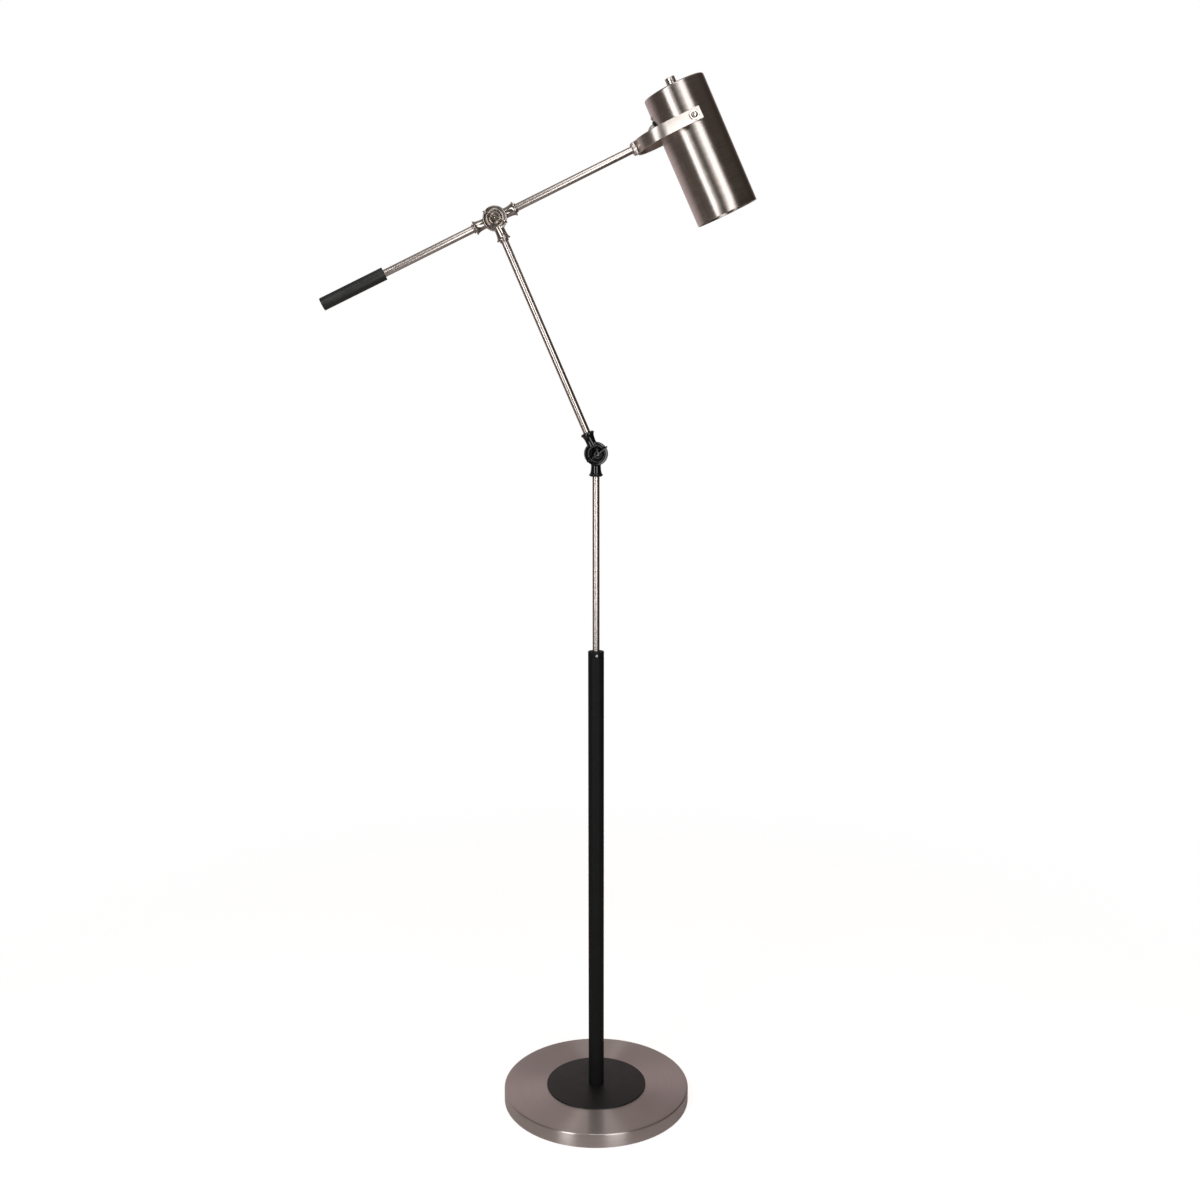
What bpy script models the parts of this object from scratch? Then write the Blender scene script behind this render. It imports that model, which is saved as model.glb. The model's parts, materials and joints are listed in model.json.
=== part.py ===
"""Pharmacy floor lamp: a weighted disc base, a pole, a leaning post, a balanced arm and a tilting head.

Metres, +Z up.  The pole stands on the origin, on the floor.  The pole, the post, the arm and the shade
all lie in the XZ plane, the head towards +X, and the turning keys face -Y.
"""

import math

import bmesh
import bpy
from mathutils import Matrix, Vector

# ---------------------------------------------------------------- clearances
GAP = 0.0003                 # between pieces that touch
SLACK = 0.0005               # between pieces that turn past each other

# ---------------------------------------------------------------- base
BASE_DIAMETER = 0.280
BASE_HEIGHT = 0.0220
BASE_EDGE_RADIUS = 0.0020
COVER_WALL = 0.0010
COVER_LIFT = 0.0010          # the cover's rim stays off the floor
PAD_THICKNESS = 0.0020
PAD_INSET = 0.0015
WEIGHT_DIAMETER = 0.244
PLATE_DIAMETER = 0.1503
PLATE_THICKNESS = 0.0013
NIPPLE_DIAMETER = 0.0100
NIPPLE_BORE = 0.0070
NIPPLE_LENGTH = 0.0560
NUT_RECESS_DIAMETER = 0.0240
NUT_RECESS_DEPTH = 0.0100
BASE_NUT_FLATS = 0.0170
BASE_NUT_HEIGHT = 0.0060
BASE_WASHER_DIAMETER = 0.0200
BASE_WASHER_THICKNESS = 0.0015
CORD_CHANNEL_WIDTH = 0.0090
CORD_CHANNEL_DEPTH = 0.0120
GLAND_BODY_DIAMETER = 0.0090
GLAND_FLANGE_DIAMETER = 0.0140
GLAND_FLANGE_THICKNESS = 0.0020
GLAND_BORE = 0.0060
GLAND_LENGTH = 0.0060
GLAND_HEIGHT = 0.0105

# ---------------------------------------------------------------- pole
TUBE_DIAMETER = 0.0232
TUBE_WALL = 0.0015
TUBE_TOP = 0.6966            # top of the cap on the lower tube
FOOT_LENGTH = 0.0220
CAP_HEIGHT = 0.0070
CAP_SPIGOT = 0.0120
CAP_SCREW_DIAMETER = 0.0040
CAP_SCREW_DROP = 0.0050      # below the top of the cap
ROD_DIAMETER = 0.0102
ROD_BORE = 0.0072
POLE_ROD_FOOT = 0.650
KNUCKLE_HEIGHT = 0.9815

# ---------------------------------------------------------------- lamp geometry
POST_LENGTH = 0.3487         # knuckle axis to cross joint axis
POST_LEAN = math.radians(23.4)
ARM_RISE = math.radians(26.2)
ARM_REACH = 0.2959           # cross joint axis to shade pivot
ARM_TAIL = 0.2634            # cross joint axis to the end of the counterweight
SHADE_TILT = math.radians(25.1)

# ---------------------------------------------------------------- clamp joints
DISC_DIAMETER = 0.0334
FRICTION_WASHER_DIAMETER = 0.0280
FRICTION_WASHER_THICKNESS = 0.0008
FLANGE_THICKNESS = 0.0058
RIDGE_RADIUS = 0.0112
RIDGE_WIDTH = 0.0020
RIDGE_HEIGHT = 0.0018
DISH_RADIUS = 0.0088
DISH_DEPTH = 0.0014
EDGE_CHAMFER = 0.0012
KEY_SCREW_DIAMETER = 0.0060
COLLAR_ROOT = 0.0115         # where a neck starts inside its disc
COLLAR_NECK_RADIUS = 0.0070
COLLAR_FLARE_START = 0.0235
COLLAR_RIM_RADIUS = 0.0099
COLLAR_RIM_AT = 0.0292
COLLAR_RIM_WIDTH = 0.0014
COLLAR_RING_RADIUS = 0.0066
COLLAR_LENGTH = 0.0335       # disc axis to the collar's outer end
ROD_SOCKET = 0.0095          # how far a rod goes into its collar
KEY_LENGTH = 0.0360
KEY_DEPTH = 0.0100
KEY_THICKNESS = 0.0018
KEY_STANDOFF = 0.0118        # mid-plane of the joint to the near edge of the blade
KEY_BOSS_DIAMETER = 0.0080
KNUCKLE_KEY_TURN = math.radians(37.4)
CROSS_KEY_TURN = math.radians(-23.2)
JOINT_NUT_FLATS = 0.0100
JOINT_NUT_HEIGHT = 0.0050
KEY_SCREW_TAIL = 0.0012      # thread past the nut

# ---------------------------------------------------------------- counterweight
WEIGHT_ROD_DIAMETER = 0.0180
WEIGHT_ROD_LENGTH = 0.0951
WEIGHT_ROD_SOCKET = 0.0400
WEIGHT_ROD_EDGE = 0.0015

# ---------------------------------------------------------------- shade
SHADE_DIAMETER = 0.0876
SHADE_LENGTH = 0.1821
SHADE_WALL = 0.0010
SHADE_EDGE_RADIUS = 0.0025
PIVOT_DROP = 0.0495          # top of the shade to its pivot
BRACKET_SCREW_HEIGHT = 0.0241    # above the pivot
LEAD_HOLE_HEIGHT = 0.0140        # above the pivot
LEAD_DIAMETER = 0.0064
LEAD_SLACK = 0.0006          # round the lead in its grommet
GROMMET_WALL = 0.0012
GROMMET_LIP = 0.0014

# ---------------------------------------------------------------- fork
FORK_WIDTH = 0.0170
FORK_THICKNESS = 0.0030
FORK_TIP = 0.0110            # past the pivot
FORK_STRAIGHT = 0.0395       # pivot to the start of the bend
FORK_BEND_RADIUS = 0.0370
FORK_NECK_RADIUS = 0.0080
FORK_BEND = math.radians(78.0)
FORK_ROOT_OFFSET = 0.0050    # each strip's centre line where it meets the hub
HUB_DIAMETER = 0.0165
HUB_LENGTH = 0.0100
FORK_NECK = 0.0860           # pivot to the end of the hub
FORK_NUT_FLATS = 0.0130
FORK_NUT_HEIGHT = 0.0040
FORK_ROD_TAIL = 0.0017       # rod past the lock nut

# ---------------------------------------------------------------- pivot hardware
PIVOT_WASHER_DIAMETER = 0.0150
PIVOT_WASHER_THICKNESS = 0.0015
PIVOT_SCREW_DIAMETER = 0.0074
PIVOT_HEAD_DIAMETER = 0.0120
PIVOT_HEAD_THICKNESS = 0.0026
PIVOT_NUT_FLATS = 0.0126
PIVOT_NUT_HEIGHT = 0.0048
PIVOT_SCREW_TAIL = 0.0022
PIVOT_DOME_RISE = 0.0013     # of the rounded screw end

# ---------------------------------------------------------------- switch
SWITCH_DIAMETER = 0.0220
SWITCH_HEIGHT = 0.0120
BUSHING_DIAMETER = 0.0095
BUSHING_HEIGHT = 0.0045      # above the top of the shade
STEM_DIAMETER = 0.0050
SWITCH_NUT_DIAMETER = 0.0136
SWITCH_NUT_HEIGHT = 0.0020
KNOB_DIAMETER = 0.0140
KNOB_HEIGHT = 0.0108
KNOB_FLUTES = 12
KNOB_FLUTE_DEPTH = 0.0004
KNOB_SKIN = 0.0030           # metal above the stem's hole

# ---------------------------------------------------------------- lamp holder and bulb
BRACKET_WIDTH = 0.0160
BRACKET_THICKNESS = 0.0015
BRACKET_TOP = 0.0315         # top of the shelf, above the pivot
BRACKET_FOOT = 0.0195        # lower end of the upright, above the pivot
BRACKET_TONGUE = 0.0100      # shelf past the lamp's centre line
BRACKET_SCREW_DIAMETER = 0.0032
BRACKET_HEAD_DIAMETER = 0.0054
BRACKET_HEAD_THICKNESS = 0.0016
HOLDER_STUD_DIAMETER = 0.0080
HOLDER_NUT_FLATS = 0.0120
HOLDER_NUT_HEIGHT = 0.0025
HOLDER_SHOULDER_DIAMETER = 0.0300
HOLDER_DIAMETER = 0.0370
HOLDER_LENGTH = 0.0430
HOLDER_BORE = 0.0300
HOLDER_CEILING = 0.0110      # solid insulation above the contacts
SHELL_WALL = 0.0006
SHELL_LENGTH = 0.0290
CAP_DIAMETER = 0.0262
CAP_LENGTH = 0.0260
CAP_WALL = 0.0010
CONTACT_DIAMETER = 0.0080
CONTACT_HEIGHT = 0.0028
BULB_DIAMETER = 0.0600
BULB_LENGTH = 0.0790         # glass below the cap
BULB_NECK_DIAMETER = 0.0258
BULB_WALL = 0.0010

# ---------------------------------------------------------------- sizes that follow
BASE_RADIUS = BASE_DIAMETER / 2
ROD_RADIUS = ROD_DIAMETER / 2
ROD_FIT = ROD_RADIUS + GAP                       # radius of a bore that takes a rod
DISC_RADIUS = DISC_DIAMETER / 2
MATING_FACE = FRICTION_WASHER_THICKNESS / 2 + GAP    # a disc's inner face from the mid-plane
FLANGE_FACE = MATING_FACE + FLANGE_THICKNESS
KEY_SCREW_FIT = KEY_SCREW_DIAMETER / 2 + GAP
SOCKET_FLOOR = COLLAR_LENGTH - ROD_SOCKET
ROD_START = SOCKET_FLOOR + GAP                   # a rod's end, from the joint's axis
SHADE_RADIUS = SHADE_DIAMETER / 2
SHADE_TOP = PIVOT_DROP
SHADE_BOTTOM = PIVOT_DROP - SHADE_LENGTH
WASHER_FACE = SHADE_RADIUS + GAP                 # pivot washer, from the lamp's plane
FORK_INNER = WASHER_FACE + PIVOT_WASHER_THICKNESS + GAP
FORK_OUTER = FORK_INNER + FORK_THICKNESS
HUB_FRONT = -FORK_NECK + HUB_LENGTH              # along the arm, from the pivot
FORK_NUT_FRONT = HUB_FRONT + GAP + FORK_NUT_HEIGHT
ROD_TIP = FORK_NUT_FRONT + FORK_ROD_TAIL
BRACKET_BACK = -(SHADE_RADIUS - SHADE_WALL - GAP)
GROMMET_BORE_RADIUS = LEAD_DIAMETER / 2 + LEAD_SLACK
GROMMET_HOLE_RADIUS = GROMMET_BORE_RADIUS + GROMMET_WALL + GAP

# The lead's route in the lamp's plane: along the arm and square to it, both from the shade's pivot.
# It leaves the arm's rod, climbs behind the shade and goes in through the grommet.
LEAD_ROUTE = [
    (-0.0770, 0.0000),
    (-0.0705, 0.0000),
    (-0.0650, 0.0006),
    (-0.0600, 0.0032),
    (-0.0560, 0.0074),
    (-0.0525, 0.0116),
    (-0.0485, 0.0143),
    (-0.0440, 0.0149),
    (-0.0400, 0.0148),
    (-0.0360, 0.0147),
]

# ---------------------------------------------------------------- facets
ROD_SIDES = 16
TUBE_SIDES = 20
DISC_SIDES = 24
SHADE_SIDES = 36
BASE_SIDES = 56
SMALL_SIDES = 12
SMOOTH_ANGLE = math.radians(35.0)
MERGE = 0.00001

FACE_FRONT = (math.pi / 2, 0.0, 0.0)             # local +Z looks along -Y
FACE_BACK = (-math.pi / 2, 0.0, 0.0)             # local +Z looks along +Y
FACE_ALONG = (0.0, math.pi / 2, 0.0)             # local +Z looks along +X
FACE_TAIL = (0.0, -math.pi / 2, 0.0)             # local +Z looks along -X
FACE_DOWN = (math.pi, 0.0, 0.0)                  # local +Z looks along -Z


# ================================================================= scene helpers
def clear_scene():
    """Remove every object, so that the script always starts from nothing."""
    for old in list(bpy.data.objects):
        bpy.data.objects.remove(old, do_unlink=True)


def new_collection(name):
    """Make a collection under the scene's own and return it."""
    group = bpy.data.collections.new(name)
    bpy.context.scene.collection.children.link(group)
    return group


def paint(name, colour, roughness, metallic):
    """Return a Principled BSDF material."""
    material = bpy.data.materials.new(name)
    material.use_nodes = True
    shader = material.node_tree.nodes["Principled BSDF"]
    shader.inputs["Base Color"].default_value = (*colour, 1.0)
    shader.inputs["Roughness"].default_value = roughness
    shader.inputs["Metallic"].default_value = metallic
    material.diffuse_color = (*colour, 1.0)
    return material


def body_frame(name, location=(0, 0, 0), lean=0.0, parent=None):
    """Return an empty on a joint's axis, turned about Y, for the pieces of one moving body."""
    empty = bpy.data.objects.new(name, None)
    empty.empty_display_size = 0.02
    empty.location = location
    empty.rotation_euler = (0.0, lean, 0.0)
    empty.parent = parent
    PARTS.objects.link(empty)
    return empty


def place(obj, parent, location, rotation):
    """Set an object's parent and its place under that parent."""
    obj.parent = parent
    obj.location = location
    obj.rotation_euler = rotation


def piece(name, mesh, material, parent, location=(0, 0, 0), rotation=(0, 0, 0)):
    """Add a finished piece, one node of the lamp."""
    obj = bpy.data.objects.new(name, mesh)
    PARTS.objects.link(obj)
    mesh.materials.append(material)
    place(obj, parent, location, rotation)
    return obj


def tool(name, mesh, parent, location=(0, 0, 0), rotation=(0, 0, 0)):
    """Add a helper solid that another piece is cut by or joined with."""
    obj = bpy.data.objects.new(name, mesh)
    CUTTERS.objects.link(obj)
    obj.hide_render = True
    obj.display_type = "WIRE"
    place(obj, parent, location, rotation)
    return obj


def boolean(obj, other, operation):
    """Cut `obj` by, or join it with, another solid."""
    modifier = obj.modifiers.new(f"{operation.lower()} {other.name}", "BOOLEAN")
    modifier.operation = operation
    modifier.solver = "EXACT"
    modifier.object = other


def cut(obj, *cutters):
    """Cut holes in a piece."""
    for cutter in cutters:
        boolean(obj, cutter, "DIFFERENCE")


def join(obj, *others):
    """Join solids into one body."""
    for other in others:
        boolean(obj, other, "UNION")


def settle(obj):
    """Keep a finished piece's evaluated shape as its mesh, smooth but for its real corners."""
    evaluated = obj.evaluated_get(bpy.context.evaluated_depsgraph_get())
    mesh = bpy.data.meshes.new_from_object(evaluated)
    mesh.name = obj.name
    obj.modifiers.clear()
    obj.data = mesh
    mesh.shade_smooth()
    mesh.set_sharp_from_angle(angle=SMOOTH_ANGLE)


# ================================================================= shape helpers
def profile_mesh(name, points):
    """Return a closed wire of (radius, height) points, without the edges that lie on the axis."""
    mesh = bpy.data.meshes.new(name)
    count = len(points)
    edges = [
        (i, (i + 1) % count) for i in range(count)
        if points[i][0] > MERGE or points[(i + 1) % count][0] > MERGE
    ]
    mesh.from_pydata([(radius, 0.0, height) for radius, height in points], edges, [])
    return mesh


def spin(obj, sides):
    """Turn an object's profile about its own Z axis."""
    screw = obj.modifiers.new("turn", "SCREW")
    screw.angle = 2 * math.pi
    screw.steps = sides
    screw.render_steps = sides
    screw.use_merge_vertices = True
    screw.merge_threshold = MERGE
    screw.use_smooth_shade = True


def turned(name, points, material, parent, location=(0, 0, 0), rotation=(0, 0, 0), sides=ROD_SIDES):
    """Add a turned piece.  The points run down its outer side and back up its bore, if it has one."""
    obj = piece(name, profile_mesh(name, points), material, parent, location, rotation)
    spin(obj, sides)
    return obj


def turned_tool(name, points, parent, location=(0, 0, 0), rotation=(0, 0, 0), sides=ROD_SIDES):
    """Add a turned helper solid."""
    obj = tool(name, profile_mesh(name, points), parent, location, rotation)
    spin(obj, sides)
    return obj


def plug(radius, low, high):
    """Return the profile of a plain cylinder from `low` to `high`."""
    return [(0.0, high), (radius, high), (radius, low), (0.0, low)]


def ring(outer, inner, low, high):
    """Return the profile of a plain tube or washer from `low` to `high`."""
    return [(outer, high), (outer, low), (inner, low), (inner, high)]


def arc(centre, radius, start, end, count):
    """Return points on an arc in a profile's plane, both ends included, angles in radians."""
    step = (end - start) / count
    return [
        (centre[0] + radius * math.cos(start + step * i), centre[1] + radius * math.sin(start + step * i))
        for i in range(count + 1)
    ]


def prism_mesh(name, flats, low, high):
    """Return a hexagonal prism along Z."""
    mesh = bpy.data.meshes.new(name)
    bm = bmesh.new()
    corner = flats / 2 / math.cos(math.pi / 6)
    bmesh.ops.create_cone(
        bm, cap_ends=True, segments=6, radius1=corner, radius2=corner, depth=high - low,
        matrix=Matrix.Translation((0, 0, (low + high) / 2)),
    )
    bm.to_mesh(mesh)
    bm.free()
    return mesh


def nut(name, flats, height, bore_radius, material, parent, location, rotation):
    """Add a hexagonal nut whose seat is at its own origin."""
    obj = piece(name, prism_mesh(name, flats, 0.0, height), material, parent, location, rotation)
    hole = turned_tool(f"{name}_bore", plug(bore_radius, -GAP, height + GAP), parent, location, rotation,
                       SMALL_SIDES)
    cut(obj, hole)
    return obj


def box_mesh(name, size, centre=(0, 0, 0)):
    """Return a box."""
    mesh = bpy.data.meshes.new(name)
    bm = bmesh.new()
    bmesh.ops.create_cube(bm, size=1.0)
    bmesh.ops.scale(bm, vec=size, verts=bm.verts)
    bmesh.ops.translate(bm, vec=centre, verts=bm.verts)
    bm.to_mesh(mesh)
    bm.free()
    return mesh


def plate_mesh(name, outline, thickness):
    """Return a flat outline in XY, extruded by `thickness` about z = 0."""
    data = bpy.data.curves.new(name, "CURVE")
    data.dimensions = "2D"
    data.fill_mode = "BOTH"
    data.extrude = thickness / 2
    spline = data.splines.new("POLY")
    spline.points.add(len(outline) - 1)
    for point, (x, y) in zip(spline.points, outline):
        point.co = (x, y, 0.0, 1.0)
    spline.use_cyclic_u = True
    return curve_to_mesh(name, data)


def curve_to_mesh(name, data):
    """Make a closed mesh of a curve, with its caps welded on."""
    holder = bpy.data.objects.new(name, data)
    bpy.context.scene.collection.objects.link(holder)
    evaluated = holder.evaluated_get(bpy.context.evaluated_depsgraph_get())
    mesh = bpy.data.meshes.new_from_object(evaluated)
    mesh.name = name
    bm = bmesh.new()
    bm.from_mesh(mesh)
    bmesh.ops.remove_doubles(bm, verts=bm.verts, dist=MERGE)
    bmesh.ops.recalc_face_normals(bm, faces=bm.faces)
    bm.to_mesh(mesh)
    bm.free()
    bpy.data.objects.remove(holder, do_unlink=True)
    mesh.materials.clear()
    return mesh


def smooth_route(points, steps):
    """Return points on a smooth curve through the given ones."""
    knots = [points[0], *points, points[-1]]
    route = []
    for before, start, end, after in zip(knots, knots[1:], knots[2:], knots[3:]):
        for i in range(steps):
            t = i / steps
            route.append(0.5 * (
                2 * start
                + (end - before) * t
                + (2 * before - 5 * start + 4 * end - after) * t ** 2
                + (3 * start - before - 3 * end + after) * t ** 3
            ))
    route.append(points[-1])
    return route


# ================================================================= materials
def make_materials():
    """Return the lamp's materials by name."""
    return {
        "nickel": paint("Brushed nickel", (0.55, 0.49, 0.46), 0.32, 1.0),
        "polished": paint("Polished nickel", (0.70, 0.66, 0.62), 0.12, 1.0),
        "matt_black": paint("Matt black paint", (0.022, 0.022, 0.023), 0.55, 0.0),
        "gloss_black": paint("Gloss black paint", (0.008, 0.008, 0.009), 0.12, 0.0),
        "iron": paint("Cast iron", (0.09, 0.09, 0.09), 0.75, 0.9),
        "zinc": paint("Zinc plated steel", (0.62, 0.63, 0.64), 0.35, 1.0),
        "fibre": paint("Fibre washer", (0.05, 0.045, 0.04), 0.80, 0.0),
        "foam": paint("Foam pad", (0.03, 0.03, 0.03), 0.95, 0.0),
        "rubber": paint("Black rubber", (0.02, 0.02, 0.02), 0.70, 0.0),
        "phenolic": paint("Black phenolic", (0.015, 0.015, 0.015), 0.40, 0.0),
        "brass": paint("Brass", (0.72, 0.53, 0.24), 0.30, 1.0),
        "clear": paint("Clear lead", (0.72, 0.72, 0.70), 0.20, 0.0),
        "glass": paint("Frosted glass", (0.90, 0.89, 0.86), 0.35, 0.0),
    }


# ================================================================= base
def build_base(parent):
    """Build the weighted disc base, with what ties the pole to it."""
    weight_low = PAD_THICKNESS + GAP
    weight_high = BASE_HEIGHT - COVER_WALL - GAP
    bore = NIPPLE_DIAMETER / 2 + GAP

    turned("base_pad", plug(BASE_RADIUS - COVER_WALL - PAD_INSET, 0.0, PAD_THICKNESS), FINISH["foam"],
           parent, sides=BASE_SIDES)

    weight = turned("base_weight", ring(WEIGHT_DIAMETER / 2, bore, weight_low, weight_high),
                    FINISH["iron"], parent, sides=BASE_SIDES)
    recess_roof = weight_low + NUT_RECESS_DEPTH
    recess = turned_tool("nut_recess", plug(NUT_RECESS_DIAMETER / 2, 0.0, recess_roof), parent,
                         sides=TUBE_SIDES)
    channel = tool("cord_channel", box_mesh(
        "cord_channel",
        (CORD_CHANNEL_WIDTH, WEIGHT_DIAMETER, CORD_CHANNEL_DEPTH),
        (0.0, WEIGHT_DIAMETER / 2, weight_low + CORD_CHANNEL_DEPTH / 2 - GAP),
    ), parent)
    cut(weight, recess, channel)

    fillet = BASE_EDGE_RADIUS
    outer_edge = arc((BASE_RADIUS - fillet, BASE_HEIGHT - fillet), fillet, math.pi / 2, 0.0, 4)
    inner_radius = BASE_RADIUS - COVER_WALL
    ceiling = BASE_HEIGHT - COVER_WALL
    inner_fillet = max(fillet - COVER_WALL, COVER_WALL / 2)
    inner_edge = arc((inner_radius - inner_fillet, ceiling - inner_fillet), inner_fillet, 0.0,
                     math.pi / 2, 2)
    cover = turned("base_cover", [
        (bore, BASE_HEIGHT),
        *outer_edge,
        (BASE_RADIUS, COVER_LIFT),
        (inner_radius, COVER_LIFT),
        *inner_edge,
        (bore, ceiling),
    ], FINISH["nickel"], parent, sides=BASE_SIDES)
    gland_hole = turned_tool("gland_hole", plug(GLAND_BODY_DIAMETER / 2 + GAP, -GLAND_LENGTH, GLAND_LENGTH),
                             parent, (0.0, BASE_RADIUS, GLAND_HEIGHT), FACE_BACK, SMALL_SIDES)
    cut(cover, gland_hole)

    flange_face = BASE_RADIUS + GAP
    turned("cord_gland", [
        (GLAND_BODY_DIAMETER / 2 + GLAND_FLANGE_THICKNESS / 2, GLAND_FLANGE_THICKNESS),
        (GLAND_FLANGE_DIAMETER / 2, GLAND_FLANGE_THICKNESS / 2),
        (GLAND_FLANGE_DIAMETER / 2, 0.0),
        (GLAND_BODY_DIAMETER / 2, 0.0),
        (GLAND_BODY_DIAMETER / 2, -GLAND_LENGTH),
        (GLAND_BORE / 2, -GLAND_LENGTH),
        (GLAND_BORE / 2, GLAND_FLANGE_THICKNESS),
    ], FINISH["rubber"], parent, (0.0, flange_face, GLAND_HEIGHT), FACE_BACK, SMALL_SIDES)

    plate_low = BASE_HEIGHT + GAP
    turned("centre_plate", [
        (PLATE_DIAMETER / 2 - PLATE_THICKNESS / 2, plate_low + PLATE_THICKNESS),
        (PLATE_DIAMETER / 2, plate_low + PLATE_THICKNESS / 2),
        (PLATE_DIAMETER / 2, plate_low),
        (bore, plate_low),
        (bore, plate_low + PLATE_THICKNESS),
    ], FINISH["matt_black"], parent, sides=BASE_SIDES)

    washer_high = recess_roof - GAP
    washer_low = washer_high - BASE_WASHER_THICKNESS
    turned("base_washer", ring(BASE_WASHER_DIAMETER / 2, bore, washer_low, washer_high), FINISH["zinc"],
           parent, sides=SMALL_SIDES)
    nut_low = washer_low - GAP - BASE_NUT_HEIGHT
    nut("base_nut", BASE_NUT_FLATS, BASE_NUT_HEIGHT, bore, FINISH["zinc"], parent, (0, 0, nut_low),
        (0, 0, 0))
    turned("base_nipple", ring(NIPPLE_DIAMETER / 2, NIPPLE_BORE / 2, nut_low, nut_low + NIPPLE_LENGTH),
           FINISH["zinc"], parent, sides=ROD_SIDES)


# ================================================================= pole
def build_pole(parent):
    """Build the black lower tube with its foot and cap, and the rod that rises out of it."""
    tube_low = BASE_HEIGHT + GAP + PLATE_THICKNESS + GAP
    tube_radius = TUBE_DIAMETER / 2
    tube_bore = tube_radius - TUBE_WALL
    cap_low = TUBE_TOP - CAP_HEIGHT
    turned("lower_tube", ring(tube_radius, tube_bore, tube_low, cap_low - GAP), FINISH["matt_black"],
           parent, sides=TUBE_SIDES)
    turned("tube_foot", ring(tube_bore - GAP, NIPPLE_DIAMETER / 2 + GAP, tube_low, tube_low + FOOT_LENGTH),
           FINISH["zinc"], parent, sides=TUBE_SIDES)

    cap = turned("tube_cap", [
        (tube_radius, TUBE_TOP),
        (tube_radius, cap_low),
        (tube_bore - GAP, cap_low),
        (tube_bore - GAP, cap_low - CAP_SPIGOT),
        (ROD_FIT, cap_low - CAP_SPIGOT),
        (ROD_FIT, TUBE_TOP),
    ], FINISH["matt_black"], parent, sides=TUBE_SIDES)
    screw_place = (0.0, 0.0, TUBE_TOP - CAP_SCREW_DROP)
    screw_hole = turned_tool("cap_screw_hole", plug(CAP_SCREW_DIAMETER / 2 + GAP, ROD_RADIUS, TUBE_DIAMETER),
                             parent, screw_place, FACE_FRONT, SMALL_SIDES)
    cut(cap, screw_hole)
    screw_face = tube_radius - GAP
    socket_radius = CAP_SCREW_DIAMETER / 4
    turned("cap_screw", [
        (0.0, screw_face - CAP_SCREW_DIAMETER / 2),
        (socket_radius, screw_face - CAP_SCREW_DIAMETER / 2),
        (socket_radius, screw_face),
        (CAP_SCREW_DIAMETER / 2, screw_face),
        (CAP_SCREW_DIAMETER / 2, ROD_FIT),
        (0.0, ROD_FIT),
    ], FINISH["zinc"], parent, screw_place, FACE_FRONT, SMALL_SIDES)

    turned("pole_rod", ring(ROD_RADIUS, ROD_BORE / 2, POLE_ROD_FOOT, KNUCKLE_HEIGHT - ROD_START),
           FINISH["nickel"], parent)


# ================================================================= clamp joints
JOINT_NAMES = {
    "knuckle": {"front": "knuckle_upper_half", "rear": "knuckle_lower_half"},
    "cross": {"front": "cross_stem_half", "rear": "cross_arm_half"},
}


def disc_profile():
    """Return a clamp disc's section: flat mating face below, ridge and dished centre above."""
    chamfer = EDGE_CHAMFER
    ridge_low = RIDGE_RADIUS - RIDGE_WIDTH / 2
    ridge_high = RIDGE_RADIUS + RIDGE_WIDTH / 2
    crest = FLANGE_FACE + RIDGE_HEIGHT
    shoulder = crest - RIDGE_HEIGHT / 3
    dish_floor = FLANGE_FACE - DISH_DEPTH
    return [
        (DISH_RADIUS, FLANGE_FACE),
        (ridge_low, shoulder),
        (RIDGE_RADIUS, crest),
        (ridge_high, shoulder),
        (ridge_high + RIDGE_WIDTH / 3, FLANGE_FACE),
        (DISC_RADIUS - chamfer, FLANGE_FACE),
        (DISC_RADIUS, FLANGE_FACE - chamfer),
        (DISC_RADIUS, MATING_FACE),
        (KEY_SCREW_FIT, MATING_FACE),
        (KEY_SCREW_FIT, dish_floor),
        (DISH_RADIUS - DISH_DEPTH, dish_floor),
    ]


def collar_profile():
    """Return a collar's section along its rod: a waisted neck, a flared rim and a blind socket."""
    rim_top = COLLAR_RIM_AT + COLLAR_RIM_WIDTH
    flare = COLLAR_RIM_RADIUS - COLLAR_NECK_RADIUS
    flare_length = COLLAR_RIM_AT - COLLAR_FLARE_START
    flare_points = [
        (COLLAR_NECK_RADIUS + flare * (1 - math.cos(t)), COLLAR_FLARE_START + flare_length * math.sin(t))
        for t in (math.radians(72), math.radians(50), math.radians(26))
    ]
    return [
        (0.0, SOCKET_FLOOR),
        (ROD_FIT, SOCKET_FLOOR),
        (ROD_FIT, COLLAR_LENGTH),
        (COLLAR_RING_RADIUS, COLLAR_LENGTH),
        (COLLAR_RING_RADIUS, rim_top + COLLAR_RIM_WIDTH / 2),
        (COLLAR_RIM_RADIUS - COLLAR_RIM_WIDTH / 2, rim_top),
        (COLLAR_RIM_RADIUS, COLLAR_RIM_AT + COLLAR_RIM_WIDTH / 2),
        (COLLAR_RIM_RADIUS, COLLAR_RIM_AT),
        *flare_points,
        (COLLAR_NECK_RADIUS, COLLAR_FLARE_START),
        (COLLAR_NECK_RADIUS, COLLAR_ROOT),
        (0.0, COLLAR_ROOT),
    ]


def clamp_half(name, material, parent, facing, directions):
    """Build one half of a clamp joint: a disc on one side of the mid-plane and its collars.

    `facing` is FACE_FRONT or FACE_BACK.  Each direction is a rotation that takes local +Z along a rod.
    """
    half = turned(name, disc_profile(), material, parent, (0, 0, 0), facing, DISC_SIDES)
    relief_radius = DISC_RADIUS + SLACK
    for index, direction in enumerate(directions):
        relief = turned_tool(f"{name}_relief_{index}", plug(relief_radius, -2 * FLANGE_FACE, MATING_FACE),
                             parent, (0, 0, 0), facing, DISC_SIDES)
        collar = turned_tool(f"{name}_collar_{index}", collar_profile(), parent, (0, 0, 0), direction,
                             ROD_SIDES)
        cut(collar, relief)
        join(half, collar)
    return half


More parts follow.
